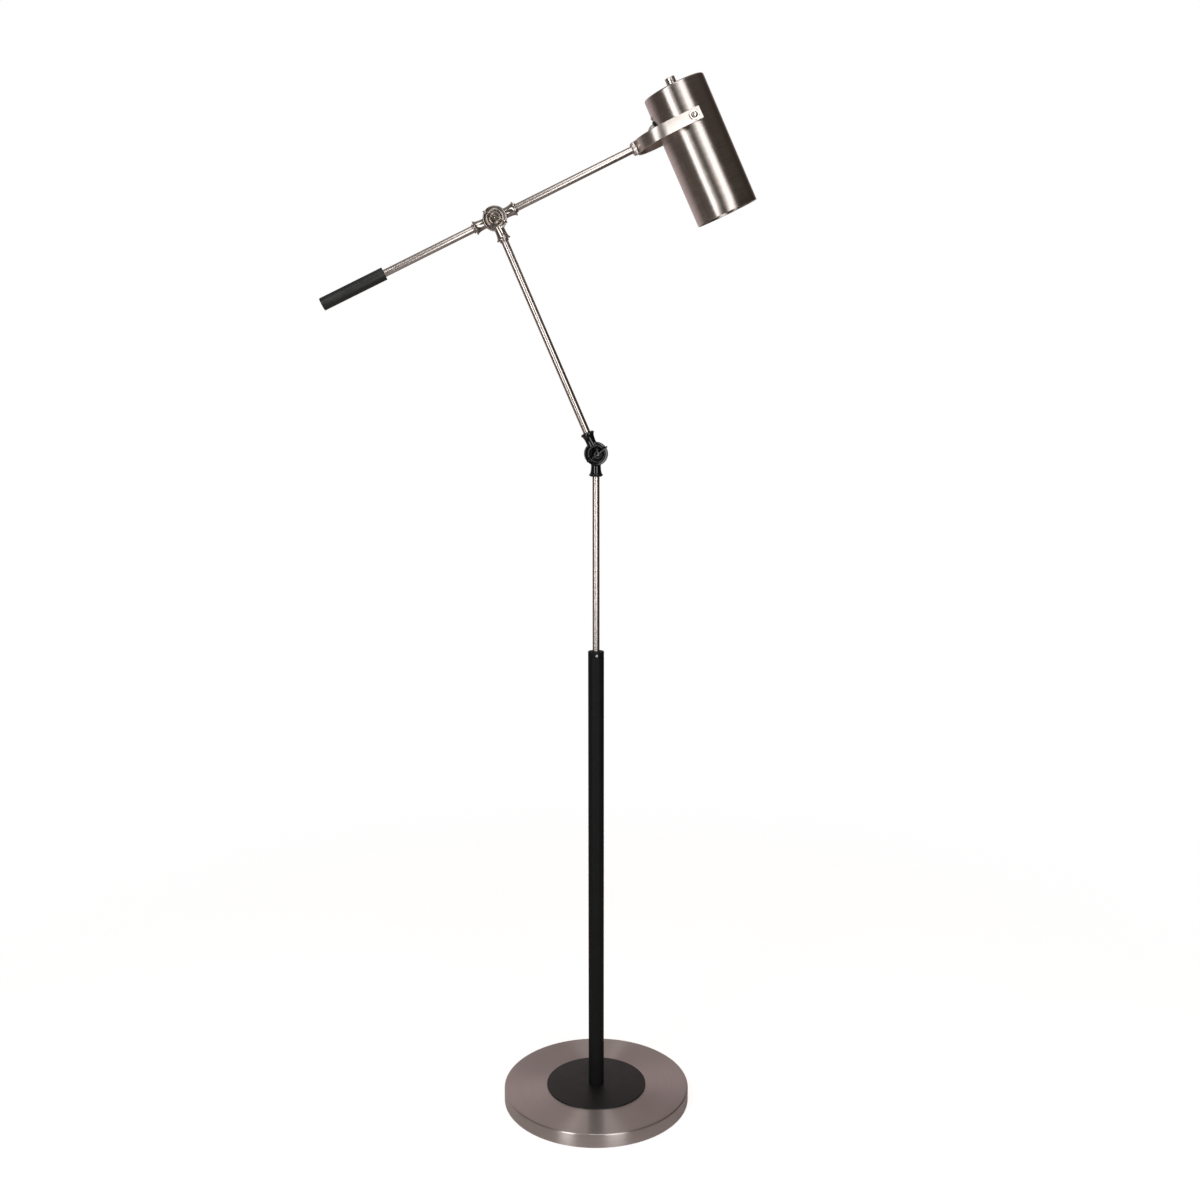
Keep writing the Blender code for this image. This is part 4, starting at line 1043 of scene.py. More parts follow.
# ================================================================= base
@dataclass
class Base:
    """The weighted disc base: cover, centre plate, foam pad and cord gland."""

    radius: float = reach("base_cover", 0)
    top: float = reach("base_cover", 2)
    lift: float = 0.0010
    wall: float = 0.0010
    edge: float = 0.0020
    bore: float = 0.0053
    plate_radius: float = reach("centre_plate", 0)
    plate_top: float = reach("centre_plate", 2)
    plate_edge: float = 0.0004
    pad_radius: float = reach("base_pad", 0)
    pad_thickness: float = reach("base_pad", 2)
    gland_height: float = 0.0105
    gland_body: float = 0.0045
    gland_flange: float = 0.0070
    gland_lip: float = 0.0020
    gland_bore: float = 0.0030
    gland_depth: float = 0.0060
    pad_softness: float = 0.3

    def build(self) -> None:
        """Build and hand over every piece of the base."""
        self.build_cover()
        self.build_centre_plate()
        self.build_pad()
        self.build_gland()
        for node in ("base_weight", "base_washer", "base_nut", "base_nipple"):
            dress_node(node, FLOOR_SEAT)

    def build_cover(self) -> None:
        """Spin the nickel cover, roll its top edge and cut the hole for the cord."""
        inside = self.radius - self.wall
        ceiling = self.top - self.wall
        inner_edge = self.edge - self.wall
        hem = self.wall / 2
        flat = [(r, self.top) for r in stepped(self.bore, self.radius - self.edge, 12)[:-1]]
        cover = turned("cover", [
            *flat,
            *arc((self.radius - self.edge, self.top - self.edge), self.edge, QUARTER, 0.0, 10),
            (self.radius, self.lift + hem),
            *arc((self.radius - hem, self.lift + hem), hem, 0.0, -math.pi, 6)[1:],
            *arc((inside - inner_edge, ceiling - inner_edge), inner_edge, 0.0, QUARTER, 4),
            (self.bore, ceiling),
        ], BASE_SIDES, hollow=True)
        back = FLOOR_SEAT.shifted(0.0, self.radius, self.gland_height).facing_to(Facing.BACK)
        combine(cover, [plug("gland_drill", self.gland_body + GAP, PAST, -PAST, back)], "DIFFERENCE")
        hand_over(cover, "base_cover", BASE_NICKEL, FLOOR_SEAT)

    def build_centre_plate(self) -> None:
        """Turn the thin black plate with its softened rim."""
        low = self.top + GAP
        edge = self.plate_edge
        rim = arc((self.plate_radius - edge, self.plate_top - edge), edge, QUARTER, 0.0, 5)
        disc = turned("plate", [
            (self.bore, self.plate_top), *rim, (self.plate_radius, low), (self.bore, low),
        ], BASE_SIDES, hollow=True)
        hand_over(disc, "centre_plate", POWDER_BLACK, FLOOR_SEAT)

    def build_pad(self) -> None:
        """Turn the foam pad with its soft edge."""
        edge = self.pad_thickness * self.pad_softness
        low_edge = arc((self.pad_radius - edge, edge), edge, 0.0, -QUARTER, 4)
        high_edge = arc((self.pad_radius - edge, self.pad_thickness - edge), edge, QUARTER, 0.0, 4)
        section = [(0.0, self.pad_thickness), *high_edge, *low_edge, (0.0, 0.0)]
        pad = turned("pad", section, BASE_SIDES)
        hand_over(pad, "base_pad", FOAM, FLOOR_SEAT)

    def build_gland(self) -> None:
        """Turn the rubber gland at the back, with its rounded lip."""
        seat = FLOOR_SEAT.shifted(0.0, self.radius + GAP, self.gland_height).facing_to(Facing.BACK)
        lip = self.gland_lip / 2
        rim = arc((self.gland_flange - lip, lip), lip, 0.0, QUARTER, 5)
        mouth = arc((self.gland_bore + lip, lip), lip, QUARTER, math.pi, 5)
        gland = turned("gland", [
            (self.gland_body, -self.gland_depth),
            (self.gland_body, 0.0),
            (self.gland_flange, 0.0),
            *rim,
            *mouth,
            (self.gland_bore, -self.gland_depth),
        ], SMALL_SIDES, seat, hollow=True)
        hand_over(gland, "cord_gland", RUBBER, seat)


# ================================================================= pole
@dataclass
class Pole:
    """The black lower tube with its cap, and the rod that rises out of it."""

    radius: float = reach("lower_tube", 0)
    wall: float = 0.0015
    top: float = reach("tube_cap", 2)
    cap_height: float = 0.0070
    cap_spigot: float = 0.0120
    cap_edge: float = 0.0006
    screw_radius: float = 0.0020
    screw_drop: float = 0.0050
    rod_radius: float = reach("pole_rod", 0)
    rod_bore: float = 0.0036
    rod_foot: float = 0.650
    socket_share: float = 0.58

    def build(self) -> None:
        """Build and hand over every piece of the pole."""
        low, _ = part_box("lower_tube")
        seam = self.top - self.cap_height
        tube = rod("tube", self.radius, self.radius - self.wall, low.z, seam - GAP, FLOOR_SEAT)
        hand_over(tube, "lower_tube", TUBE_BLACK, FLOOR_SEAT)
        self.build_cap(seam)
        self.build_grub_screw()
        upper = rod("rod", self.rod_radius, self.rod_bore, self.rod_foot, reach("pole_rod", 2),
                    FLOOR_SEAT)
        hand_over(upper, "pole_rod", ROD_NICKEL, FLOOR_SEAT)
        dress_node("tube_foot", FLOOR_SEAT)

    def build_cap(self, seam: float) -> None:
        """Turn the cap and tap it for its grub screw.

        Args:
            seam: Height of the cap's lower edge.
        """
        spigot = self.radius - self.wall - GAP
        bore = self.rod_radius + GAP
        edge = self.cap_edge
        cap = turned("cap", [
            (bore + edge, self.top),
            *arc((self.radius - edge, self.top - edge), edge, QUARTER, 0.0, 6),
            (self.radius, seam + GAP),
            (self.radius - GAP, seam),
            (spigot, seam),
            (spigot, seam - self.cap_spigot),
            (bore, seam - self.cap_spigot),
            (bore, self.top - edge),
        ], JOINT_SIDES, hollow=True)
        seat = FLOOR_SEAT.shifted(0.0, 0.0, self.top - self.screw_drop).facing_to(Facing.FRONT)
        drill = plug("cap_drill", self.screw_radius + GAP, 2 * self.radius, self.rod_radius, seat)
        combine(cap, [drill], "DIFFERENCE")
        hand_over(cap, "tube_cap", TUBE_BLACK, FLOOR_SEAT)

    def build_grub_screw(self) -> None:
        """Make the socket grub screw that locks the rod."""
        seat = FLOOR_SEAT.shifted(0.0, 0.0, self.top - self.screw_drop).facing_to(Facing.FRONT)
        face = self.radius - GAP
        edge = GAP
        screw = turned("grub", [
            (0.0, face),
            (self.screw_radius - edge, face),
            (self.screw_radius, face - edge),
            (self.screw_radius, self.rod_radius + 3 * GAP),
            (self.screw_radius / 2, self.rod_radius + GAP),
            (0.0, self.rod_radius + GAP),
        ], SMALL_SIDES, seat)
        corner = self.screw_radius * self.socket_share
        hexagon = oval((0.0, 0.0), corner, corner, 0.0, 5 * math.pi / 3, 5)
        socket = plate("grub_socket", hexagon, face - self.screw_radius, face + GAP, seat)
        combine(screw, [socket], "DIFFERENCE")
        hand_over(screw, "cap_screw", ZINC, seat)


# ================================================================= clamp joints
class CollarEnd(Enum):
    """How a collar ends towards its rod."""

    RINGED = "a small neck ring past the rim"
    ROUNDED = "the rim rolls over onto the rod"


@dataclass
class ClampJoint:
    """One clamp joint: two half discs with flared collars, a turning key and a nut."""

    name: str
    front_node: str
    rear_node: str
    front_seat: Seat
    rear_seat: Seat
    front_rods: tuple[Facing, ...]
    rear_rods: tuple[Facing, ...]
    key_turn: float
    finish: Finish
    collar_end: CollarEnd

    disc_radius: float = 0.0167
    mating_face: float = 0.0007
    flange_face: float = 0.0065
    edge: float = 0.0012
    ridge_radius: float = 0.0112
    ridge_half_width: float = 0.0017
    ridge_height: float = 0.0018
    dish_radius: float = 0.0088
    dish_depth: float = 0.0014
    screw_radius: float = 0.0030
    collar_root: float = 0.0115
    neck_radius: float = 0.0070
    waist: float = 0.0178
    shoulder: float = 0.0006
    rim_radius: float = 0.0099
    rim_at: float = 0.0292
    rim_width: float = 0.0014
    ring_radius: float = 0.0066
    ring_end: float = 0.0335
    rolled_end: float = 0.0326
    socket_floor: float = 0.0240
    rod_fit: float = 0.0054
    key_length: float = 0.0360
    key_depth: float = 0.0100
    key_thickness: float = 0.0018
    key_standoff: float = 0.0118
    boss_radius: float = 0.0040
    boss_foot: float = 0.0018
    boss_rise: float = 0.0050
    wing_border: float = 0.0010
    wing_slope: float = 0.0012
    wing_hollow: float = 0.00035
    nut_flats: float = 0.0100
    nut_height: float = 0.0050
    screw_tail: float = 0.0012
    relief_slack: float = 0.0005
    relief_depth: float = 0.02

    def build(self) -> None:
        """Build and hand over both halves, the key, the nut and the washer."""
        self.build_half(self.front_node, self.front_seat, Facing.FRONT, self.front_rods)
        self.build_half(self.rear_node, self.rear_seat, Facing.BACK, self.rear_rods)
        self.build_key()
        self.build_nut()
        dress_node(f"{self.name}_friction_washer", self.rear_seat.facing_to(Facing.FRONT))

    def disc_section(self) -> list[Point]:
        """Return a disc's section: flange, rolled ridge and hollow dish above a flat mating face."""
        ridge = oval((self.ridge_radius, self.flange_face), self.ridge_half_width,
                     self.ridge_height, 0.0, math.pi, 12)
        dish_wide = self.dish_radius - self.screw_radius - GAP
        dish = oval((self.screw_radius + GAP, self.flange_face), dish_wide, -self.dish_depth,
                    0.0, QUARTER, 8)
        corner = arc((self.disc_radius - self.edge, self.flange_face - self.edge), self.edge,
                     0.0, QUARTER, 6)
        return [
            (self.screw_radius + GAP, self.mating_face),
            (self.disc_radius, self.mating_face),
            *corner,
            *ridge,
            *dish,
        ]

    def collar_section(self) -> list[Point]:
        """Return a collar's section along its rod: waisted neck, flared rim and blind socket."""
        flare = self.rim_radius - self.neck_radius
        flare_length = self.rim_at - self.waist
        root = self.neck_radius + self.shoulder
        fall = self.waist - self.collar_root
        neck = [
            (root - self.shoulder * math.sin(t), self.collar_root + fall * t / QUARTER)
            for t in stepped(0.0, QUARTER, 8)
        ]
        swell = [
            (self.neck_radius + flare * (1 - math.cos(t)), self.waist + flare_length * math.sin(t))
            for t in stepped(0.0, QUARTER, 14)
        ]
        half = self.rim_width / 2
        rim = arc((self.rim_radius - half, self.rim_at + half), half, 0.0, QUARTER, 5)
        if self.collar_end is CollarEnd.RINGED:
            foot = self.rim_at + self.rim_width + half
            bead = (self.ring_end - foot) / 2
            end = [
                (self.ring_radius - bead, self.rim_at + self.rim_width),
                *arc((self.ring_radius - bead, foot + bead), bead, -QUARTER, QUARTER, 8),
            ]
            mouth = self.ring_end
        else:
            low = self.rim_at + half
            end = oval((self.rod_fit, low), self.rim_radius - self.rod_fit, self.rolled_end - low,
                       math.radians(12.0), math.radians(84.0), 8)
            rim = []
            mouth = self.rolled_end
        return [
            (0.0, self.collar_root),
            *neck[:-1],
            *swell,
            *rim,
            *end,
            (self.rod_fit, mouth),
            (self.rod_fit, self.socket_floor),
            (0.0, self.socket_floor),
        ]

    def build_half(self, node: str, seat: Seat, facing: Facing, rods: tuple[Facing, ...]) -> None:
        """Build one half: a disc, and its collars welded to its edge.

        Args:
            node: The CAD node that it stands for.
            seat: The joint's seat on the half's own body.
            facing: FRONT or BACK, the way the disc's ridge looks.
            rods: Which way each collar goes.
        """
        own = seat.facing_to(facing)
        half = turned(node, self.disc_section(), JOINT_SIDES, own, hollow=True)
        for way in rods:
            collar = turned(f"{node}_collar", self.collar_section(), ROD_SIDES, seat.facing_to(way))
            relief = plug(f"{node}_relief", self.disc_radius + self.relief_slack, self.mating_face,
                          -self.relief_depth, own, JOINT_SIDES)
            combine(collar, [relief], "DIFFERENCE")
            combine(half, [collar], "UNION")
        hand_over(half, node, self.finish, own)

    def build_key(self) -> None:
        """Build the turning key: a thin wing with hollowed faces on a boss and its screw."""
        seat = self.rear_seat.facing_to(Facing.FRONT)
        shelf = self.flange_face - self.dish_depth + GAP
        root = self.key_standoff + self.boss_foot
        tip = shelf + self.nut_height + self.screw_tail
        dome = oval((0.0, root), self.boss_radius, self.boss_rise, QUARTER, 0.0, 10)
        key = turned("key", [
            *dome,
            (self.boss_radius, shelf + GAP),
            (self.boss_radius - GAP, shelf),
            (self.screw_radius, shelf),
            (self.screw_radius, -tip + 2 * GAP),
            (self.screw_radius - 2 * GAP, -tip),
            (0.0, -tip),
        ], SMALL_SIDES, seat)
        end = self.key_depth / 2
        reach_out = self.key_length / 2 - end
        outline = [
            *arc((reach_out, 0.0), end, -QUARTER, QUARTER, 16),
            *arc((-reach_out, 0.0), end, QUARTER, 3 * QUARTER, 16),
        ]
        half = self.key_thickness / 2
        wing = plate("wing", outline, -half, half)
        with editing(wing, "FACE"):
            choose_faces(wing, lambda face: abs(face.normal.z) > 0.9)
            bpy.ops.mesh.inset(thickness=self.wing_border, depth=0.0)
            bpy.ops.mesh.inset(thickness=self.wing_slope, depth=-self.wing_hollow)
        rounded(wing, SOFT, 3)
        turn = replace(self.rear_seat, lean=self.rear_seat.lean - self.key_turn)
        settle(wing, turn.shifted(0.0, -(self.key_standoff + end), 0.0))
        combine(key, [wing], "UNION")
        hand_over(key, f"{self.name}_key", self.finish, seat)

    def build_nut(self) -> None:
        """Build the nut in the rear half's dish."""
        shelf = self.flange_face - self.dish_depth + GAP
        seat = self.rear_seat.shifted(0.0, shelf, 0.0).facing_to(Facing.BACK)
        nut = hex_nut("nut", self.nut_flats, self.nut_height, self.screw_radius + GAP, seat)
        hand_over(nut, f"{self.name}_nut", self.finish, seat)


# ================================================================= post and arm
@dataclass
class RodsAndWeight:
    """The post's rod, the arm's two rods and the counterweight."""

    radius: float = 0.0051
    bore: float = 0.0036
    start: float = 0.0243
    tail: float = 0.2634
    weight_length: float = 0.0951
    weight_radius: float = 0.0090
    weight_socket: float = 0.0400
    weight_edge: float = 0.0015
    rod_tip: float = -0.0700

    def build(self) -> None:
        """Build and hand over the rods and the counterweight."""
        post = rod("post", self.radius, self.bore, self.start, POST_LENGTH - self.start, POST_SEAT)
        hand_over(post, "post_rod", ROD_NICKEL, POST_SEAT)
        rear = ARM_SEAT.facing_to(Facing.TAIL)
        front = ARM_SEAT.facing_to(Facing.ALONG)
        weight_start = self.tail - self.weight_length
        rear_end = weight_start + self.weight_socket - GAP
        tail_rod = rod("tail", self.radius, self.bore, self.start, rear_end, rear)
        hand_over(tail_rod, "arm_rear_rod", ROD_NICKEL, rear)
        head_end = ARM_REACH + self.rod_tip
        head_rod = rod("head_rod", self.radius, self.bore, self.start, head_end, front)
        hand_over(head_rod, "arm_front_rod", ROD_NICKEL, front)
        self.build_weight(rear, weight_start)

    def build_weight(self, seat: Seat, start: float) -> None:
        """Turn the counterweight with its rounded end.

        Args:
            seat: The arm's seat, looking to the tail.
            start: Where the weight starts on the rod.
        """
        edge = self.weight_edge
        lip = edge / 3
        fit = self.radius + GAP
        weight = turned("weight", [
            (0.0, self.tail),
            *arc((self.weight_radius - edge, self.tail - edge), edge, QUARTER, 0.0, 8),
            *arc((self.weight_radius - lip, start + lip), lip, 0.0, -QUARTER, 4),
            (fit, start),
            (fit, start + self.weight_socket),
            (0.0, start + self.weight_socket),
        ], JOINT_SIDES, seat)
        hand_over(weight, "counterweight", SATIN_BLACK, seat)


# ================================================================= fork
@dataclass
class Fork:
    """The wishbone fork with its lock nut, and the pivot hardware on both sides of the shade."""

    width: float = 0.0170
    thickness: float = 0.0030
    tip: float = 0.0110
    straight: float = 0.0395
    bend_radius: float = 0.0370
    neck_radius: float = 0.0080
    bend: float = math.radians(78.0)
    root_offset: float = 0.0050
    hub_radius: float = 0.00825
    hub_length: float = 0.0100
    neck: float = 0.0860
    rod_fit: float = 0.0054
    edge: float = 0.0004
    corner: float = 0.0012
    nut_flats: float = 0.0130
    nut_height: float = 0.0040
    shade_radius: float = reach("shade", 1)
    washer_radius: float = 0.0075
    washer_thickness: float = 0.0015
    screw_radius: float = 0.0037
    head_radius: float = 0.0060
    head_thickness: float = 0.0026
    pivot_nut_flats: float = 0.0126
    pivot_nut_height: float = 0.0048
    screw_tail: float = 0.0022
    dome_rise: float = 0.0013
    shade_wall: float = 0.0010
    hub_edge: float = 0.0008
    drill_reach: float = 0.1
    thread_pitch: float = 0.0008
    thread_depth: float = 0.0003

    @property
    def inner(self) -> float:
        """Return the strips' inner faces, from the lamp's plane."""
        return self.shade_radius + GAP + self.washer_thickness + GAP

    @property
    def outer(self) -> float:
        """Return the strips' outer faces, from the lamp's plane."""
        return self.inner + self.thickness

    def build(self) -> None:
        """Build and hand over the fork, its nut and both pivots."""
        self.build_fork()
        seat = HEAD_SEAT.shifted(self.hub_length - self.neck + GAP).facing_to(Facing.ALONG)
        lock = hex_nut("lock", self.nut_flats, self.nut_height, self.rod_fit, seat)
        hand_over(lock, "fork_lock_nut", CAST_NICKEL, seat)
        for side, facing in (("near", Facing.FRONT), ("far", Facing.BACK)):
            self.build_pivot(side, HEAD_SEAT.facing_to(facing))

    def side(self, offset: float) -> list[Point]:
        """Return one face of the far strip from its tip to its root.

        Args:
            offset: Distance of the face from the strip's middle, outwards.

        Returns:
            The face's points along the arm and across it.
        """
        middle = (self.inner + self.outer) / 2
        bend = arc((-self.straight, middle - self.bend_radius), self.bend_radius + offset, QUARTER,
                   QUARTER + self.bend, 24)
        both = self.bend_radius + self.neck_radius
        drop = middle - self.root_offset - both * (1 - math.cos(self.bend))
        neck_x = -(self.straight + both * math.sin(self.bend) + drop / math.tan(self.bend))
        neck = arc((neck_x, self.root_offset + self.neck_radius), self.neck_radius - offset,
                   self.bend - QUARTER, -QUARTER, 10)
        return [(self.tip, middle + offset), *bend, *neck]

    def build_fork(self) -> None:
        """Bend the strips, weld them to the hub and drill them."""
        half = self.thickness / 2
        front = self.hub_length - self.neck
        outer = self.side(half)
        inner = [point for point in self.side(-half) if point[0] > front - self.hub_length / 2]
        outline = [
            *outer,
            *[(x, -y) for x, y in reversed(outer)],
            *[(x, -y) for x, y in inner],
            *reversed(inner),
        ]
        fork = plate("fork", outline, -self.width / 2, self.width / 2)
        with editing(fork, "EDGE"):
            choose_edges(fork, lambda a, b: min(a.x, b.x) > self.tip - GAP and abs(a.y - b.y) > GAP
                         and abs(a.z) > GAP)
            bpy.ops.mesh.bevel(offset=self.corner, segments=5, affect="EDGES")
        rounded(fork, self.edge, 3, math.radians(40.0))
        settle(fork, HEAD_SEAT)
        along = HEAD_SEAT.facing_to(Facing.ALONG)
        rim = self.hub_edge
        hub = turned("hub", [
            (0.0, -self.neck),
            *arc((self.hub_radius - rim, -self.neck + rim), rim, -QUARTER, 0.0, 5),
            *arc((self.hub_radius - rim, front - rim), rim, 0.0, QUARTER, 5),
            (0.0, front),
        ], ROD_SIDES, along)
        bore = plug("bore", self.rod_fit, front + PAST, -self.neck - PAST, along, ROD_SIDES)
        drill = plug("drill", self.screw_radius + GAP, -self.drill_reach, self.drill_reach,
                     HEAD_SEAT.facing_to(Facing.FRONT))
        combine(fork, [hub], "UNION")
        combine(fork, [bore, drill], "DIFFERENCE")
        hand_over(fork, "fork", FORK_NICKEL, HEAD_SEAT)

    def build_pivot(self, side: str, seat: Seat) -> None:
        """Build the washer, the screw and the nut on one side.

        Args:
            side: `near` or `far`.
            seat: The pivot's seat, looking out of that side.
        """
        low = self.shade_radius + GAP
        pin = self.screw_radius + GAP
        washer = ring("washer", pin, self.washer_radius, low + self.washer_thickness, low, seat, 2)
        hand_over(washer, f"pivot_washer_{side}", FIBRE, seat)

        nut_seat = self.outer + GAP
        end = nut_seat + self.pivot_nut_height + self.screw_tail
        inside = self.shade_radius - self.shade_wall
        head = math.sqrt(inside ** 2 - self.head_radius ** 2) - GAP
        dome = oval((0.0, end - self.dome_rise), self.screw_radius, self.dome_rise, QUARTER, 0.0, 10)
        threads = []
        crest = end - self.dome_rise - GAP
        while crest > nut_seat + GAP:
            valley = crest - self.thread_pitch / 2
            threads += [(self.screw_radius, crest), (self.screw_radius - self.thread_depth, valley)]
            crest -= self.thread_pitch
        screw = turned("screw", [
            *dome,
            *threads,
            (self.screw_radius, nut_seat),
            (self.screw_radius, head),
            (self.head_radius, head),
            *oval((0.0, head - self.head_thickness / 2), self.head_radius, -self.head_thickness / 2,
                  0.0, QUARTER, 8),
        ], SMALL_SIDES, seat)
        hand_over(screw, f"pivot_screw_{side}", BRIGHT_NICKEL, seat)
        out = -1.0 if seat.facing is Facing.FRONT else 1.0
        nut = hex_nut("nut", self.pivot_nut_flats, self.pivot_nut_height, pin,
                      seat.shifted(0.0, out * nut_seat, 0.0))
        hand_over(nut, f"pivot_nut_{side}", BRIGHT_NICKEL, seat)


# ================================================================= lead
@dataclass
class HeadLead:
    """The short clear lead from the arm's rod into the shade, with its tinned braid inside."""

    radius: float = 0.0032
    braid_radius: float = 0.0019
    steps: int = 6
    route: tuple[Point, ...] = (
        (-0.0770, 0.0000), (-0.0705, 0.0000), (-0.0650, 0.0006), (-0.0600, 0.0032),
        (-0.0560, 0.0074), (-0.0525, 0.0116), (-0.0485, 0.0143), (-0.0440, 0.0149),
        (-0.0400, 0.0148), (-0.0360, 0.0147),
    )
    first_bend: int = 2
    last_bend: int = 7

    def build(self) -> None:
        """Build the clear jacket and the braid along the route, in place."""
        jacket = self.tube("jacket", self.radius, 8)
        hand_over(jacket, "head_lead", CLEAR_VINYL, HEAD_SEAT, math.radians(60.0))
        braid = self.tube("head_lead_braid", self.braid_radius, 6)
        pick(braid)
        bpy.ops.object.shade_smooth_by_angle(angle=math.radians(60.0))
        braid.data.materials.append(TINNED.on(HEAD_SEAT))
        for piece in (jacket, braid):
            start = self.world(self.route[self.first_bend])
            end = self.world(self.route[self.last_bend])
            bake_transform(piece)
        LOG.info("%-28s bends between the arm and the shade", jacket.name)

    def world(self, point: Point) -> tuple[float, float, float]:
        """Return a point of the route in the world."""
        return tuple(HEAD_SEAT.matrix() @ Vector((point[0], 0.0, point[1])))

    def smooth_route(self) -> list[Vector]:
        """Return points on a smooth curve through the route's own."""
        knots = [Vector((along, 0.0, up)) for along, up in self.route]
        knots = [knots[0], *knots, knots[-1]]
        smooth = []
        for before, start, end, after in zip(knots, knots[1:], knots[2:], knots[3:]):
            for i in range(self.steps):
                t = i / self.steps
                smooth.append(0.5 * (
                    2 * start
                    + (end - before) * t
                    + (2 * before - 5 * start + 4 * end - after) * t ** 2
                    + (3 * start - before - 3 * end + after) * t ** 3
                ))
        return [*smooth, knots[-1]]

    def tube(self, name: str, radius: float, resolution: int) -> bpy.types.Object:
        """Sweep a round section along the route.

        Args:
            name: The new object's name.
            radius: The section's radius.
            resolution: How finely the section is round.

        Returns:
            The closed tube as a mesh, in place.
        """
        curve = bpy.data.curves.new(name, "CURVE")
        curve.dimensions = "3D"
        curve.bevel_depth = radius
        curve.bevel_resolution = resolution
        curve.use_fill_caps = True
        points = self.smooth_route()
        spline = curve.splines.new("POLY")
        spline.points.add(len(points) - 1)
        for point, place in zip(spline.points, points):
            point.co = (*place, 1.0)
        obj = bpy.data.objects.new(name, curve)
        bpy.context.scene.collection.objects.link(obj)
        pick(obj)
        bpy.ops.object.convert(target="MESH")
        obj = bpy.context.object
        with editing(obj):
            tidy_mesh()
        settle(obj, HEAD_SEAT)
        return obj


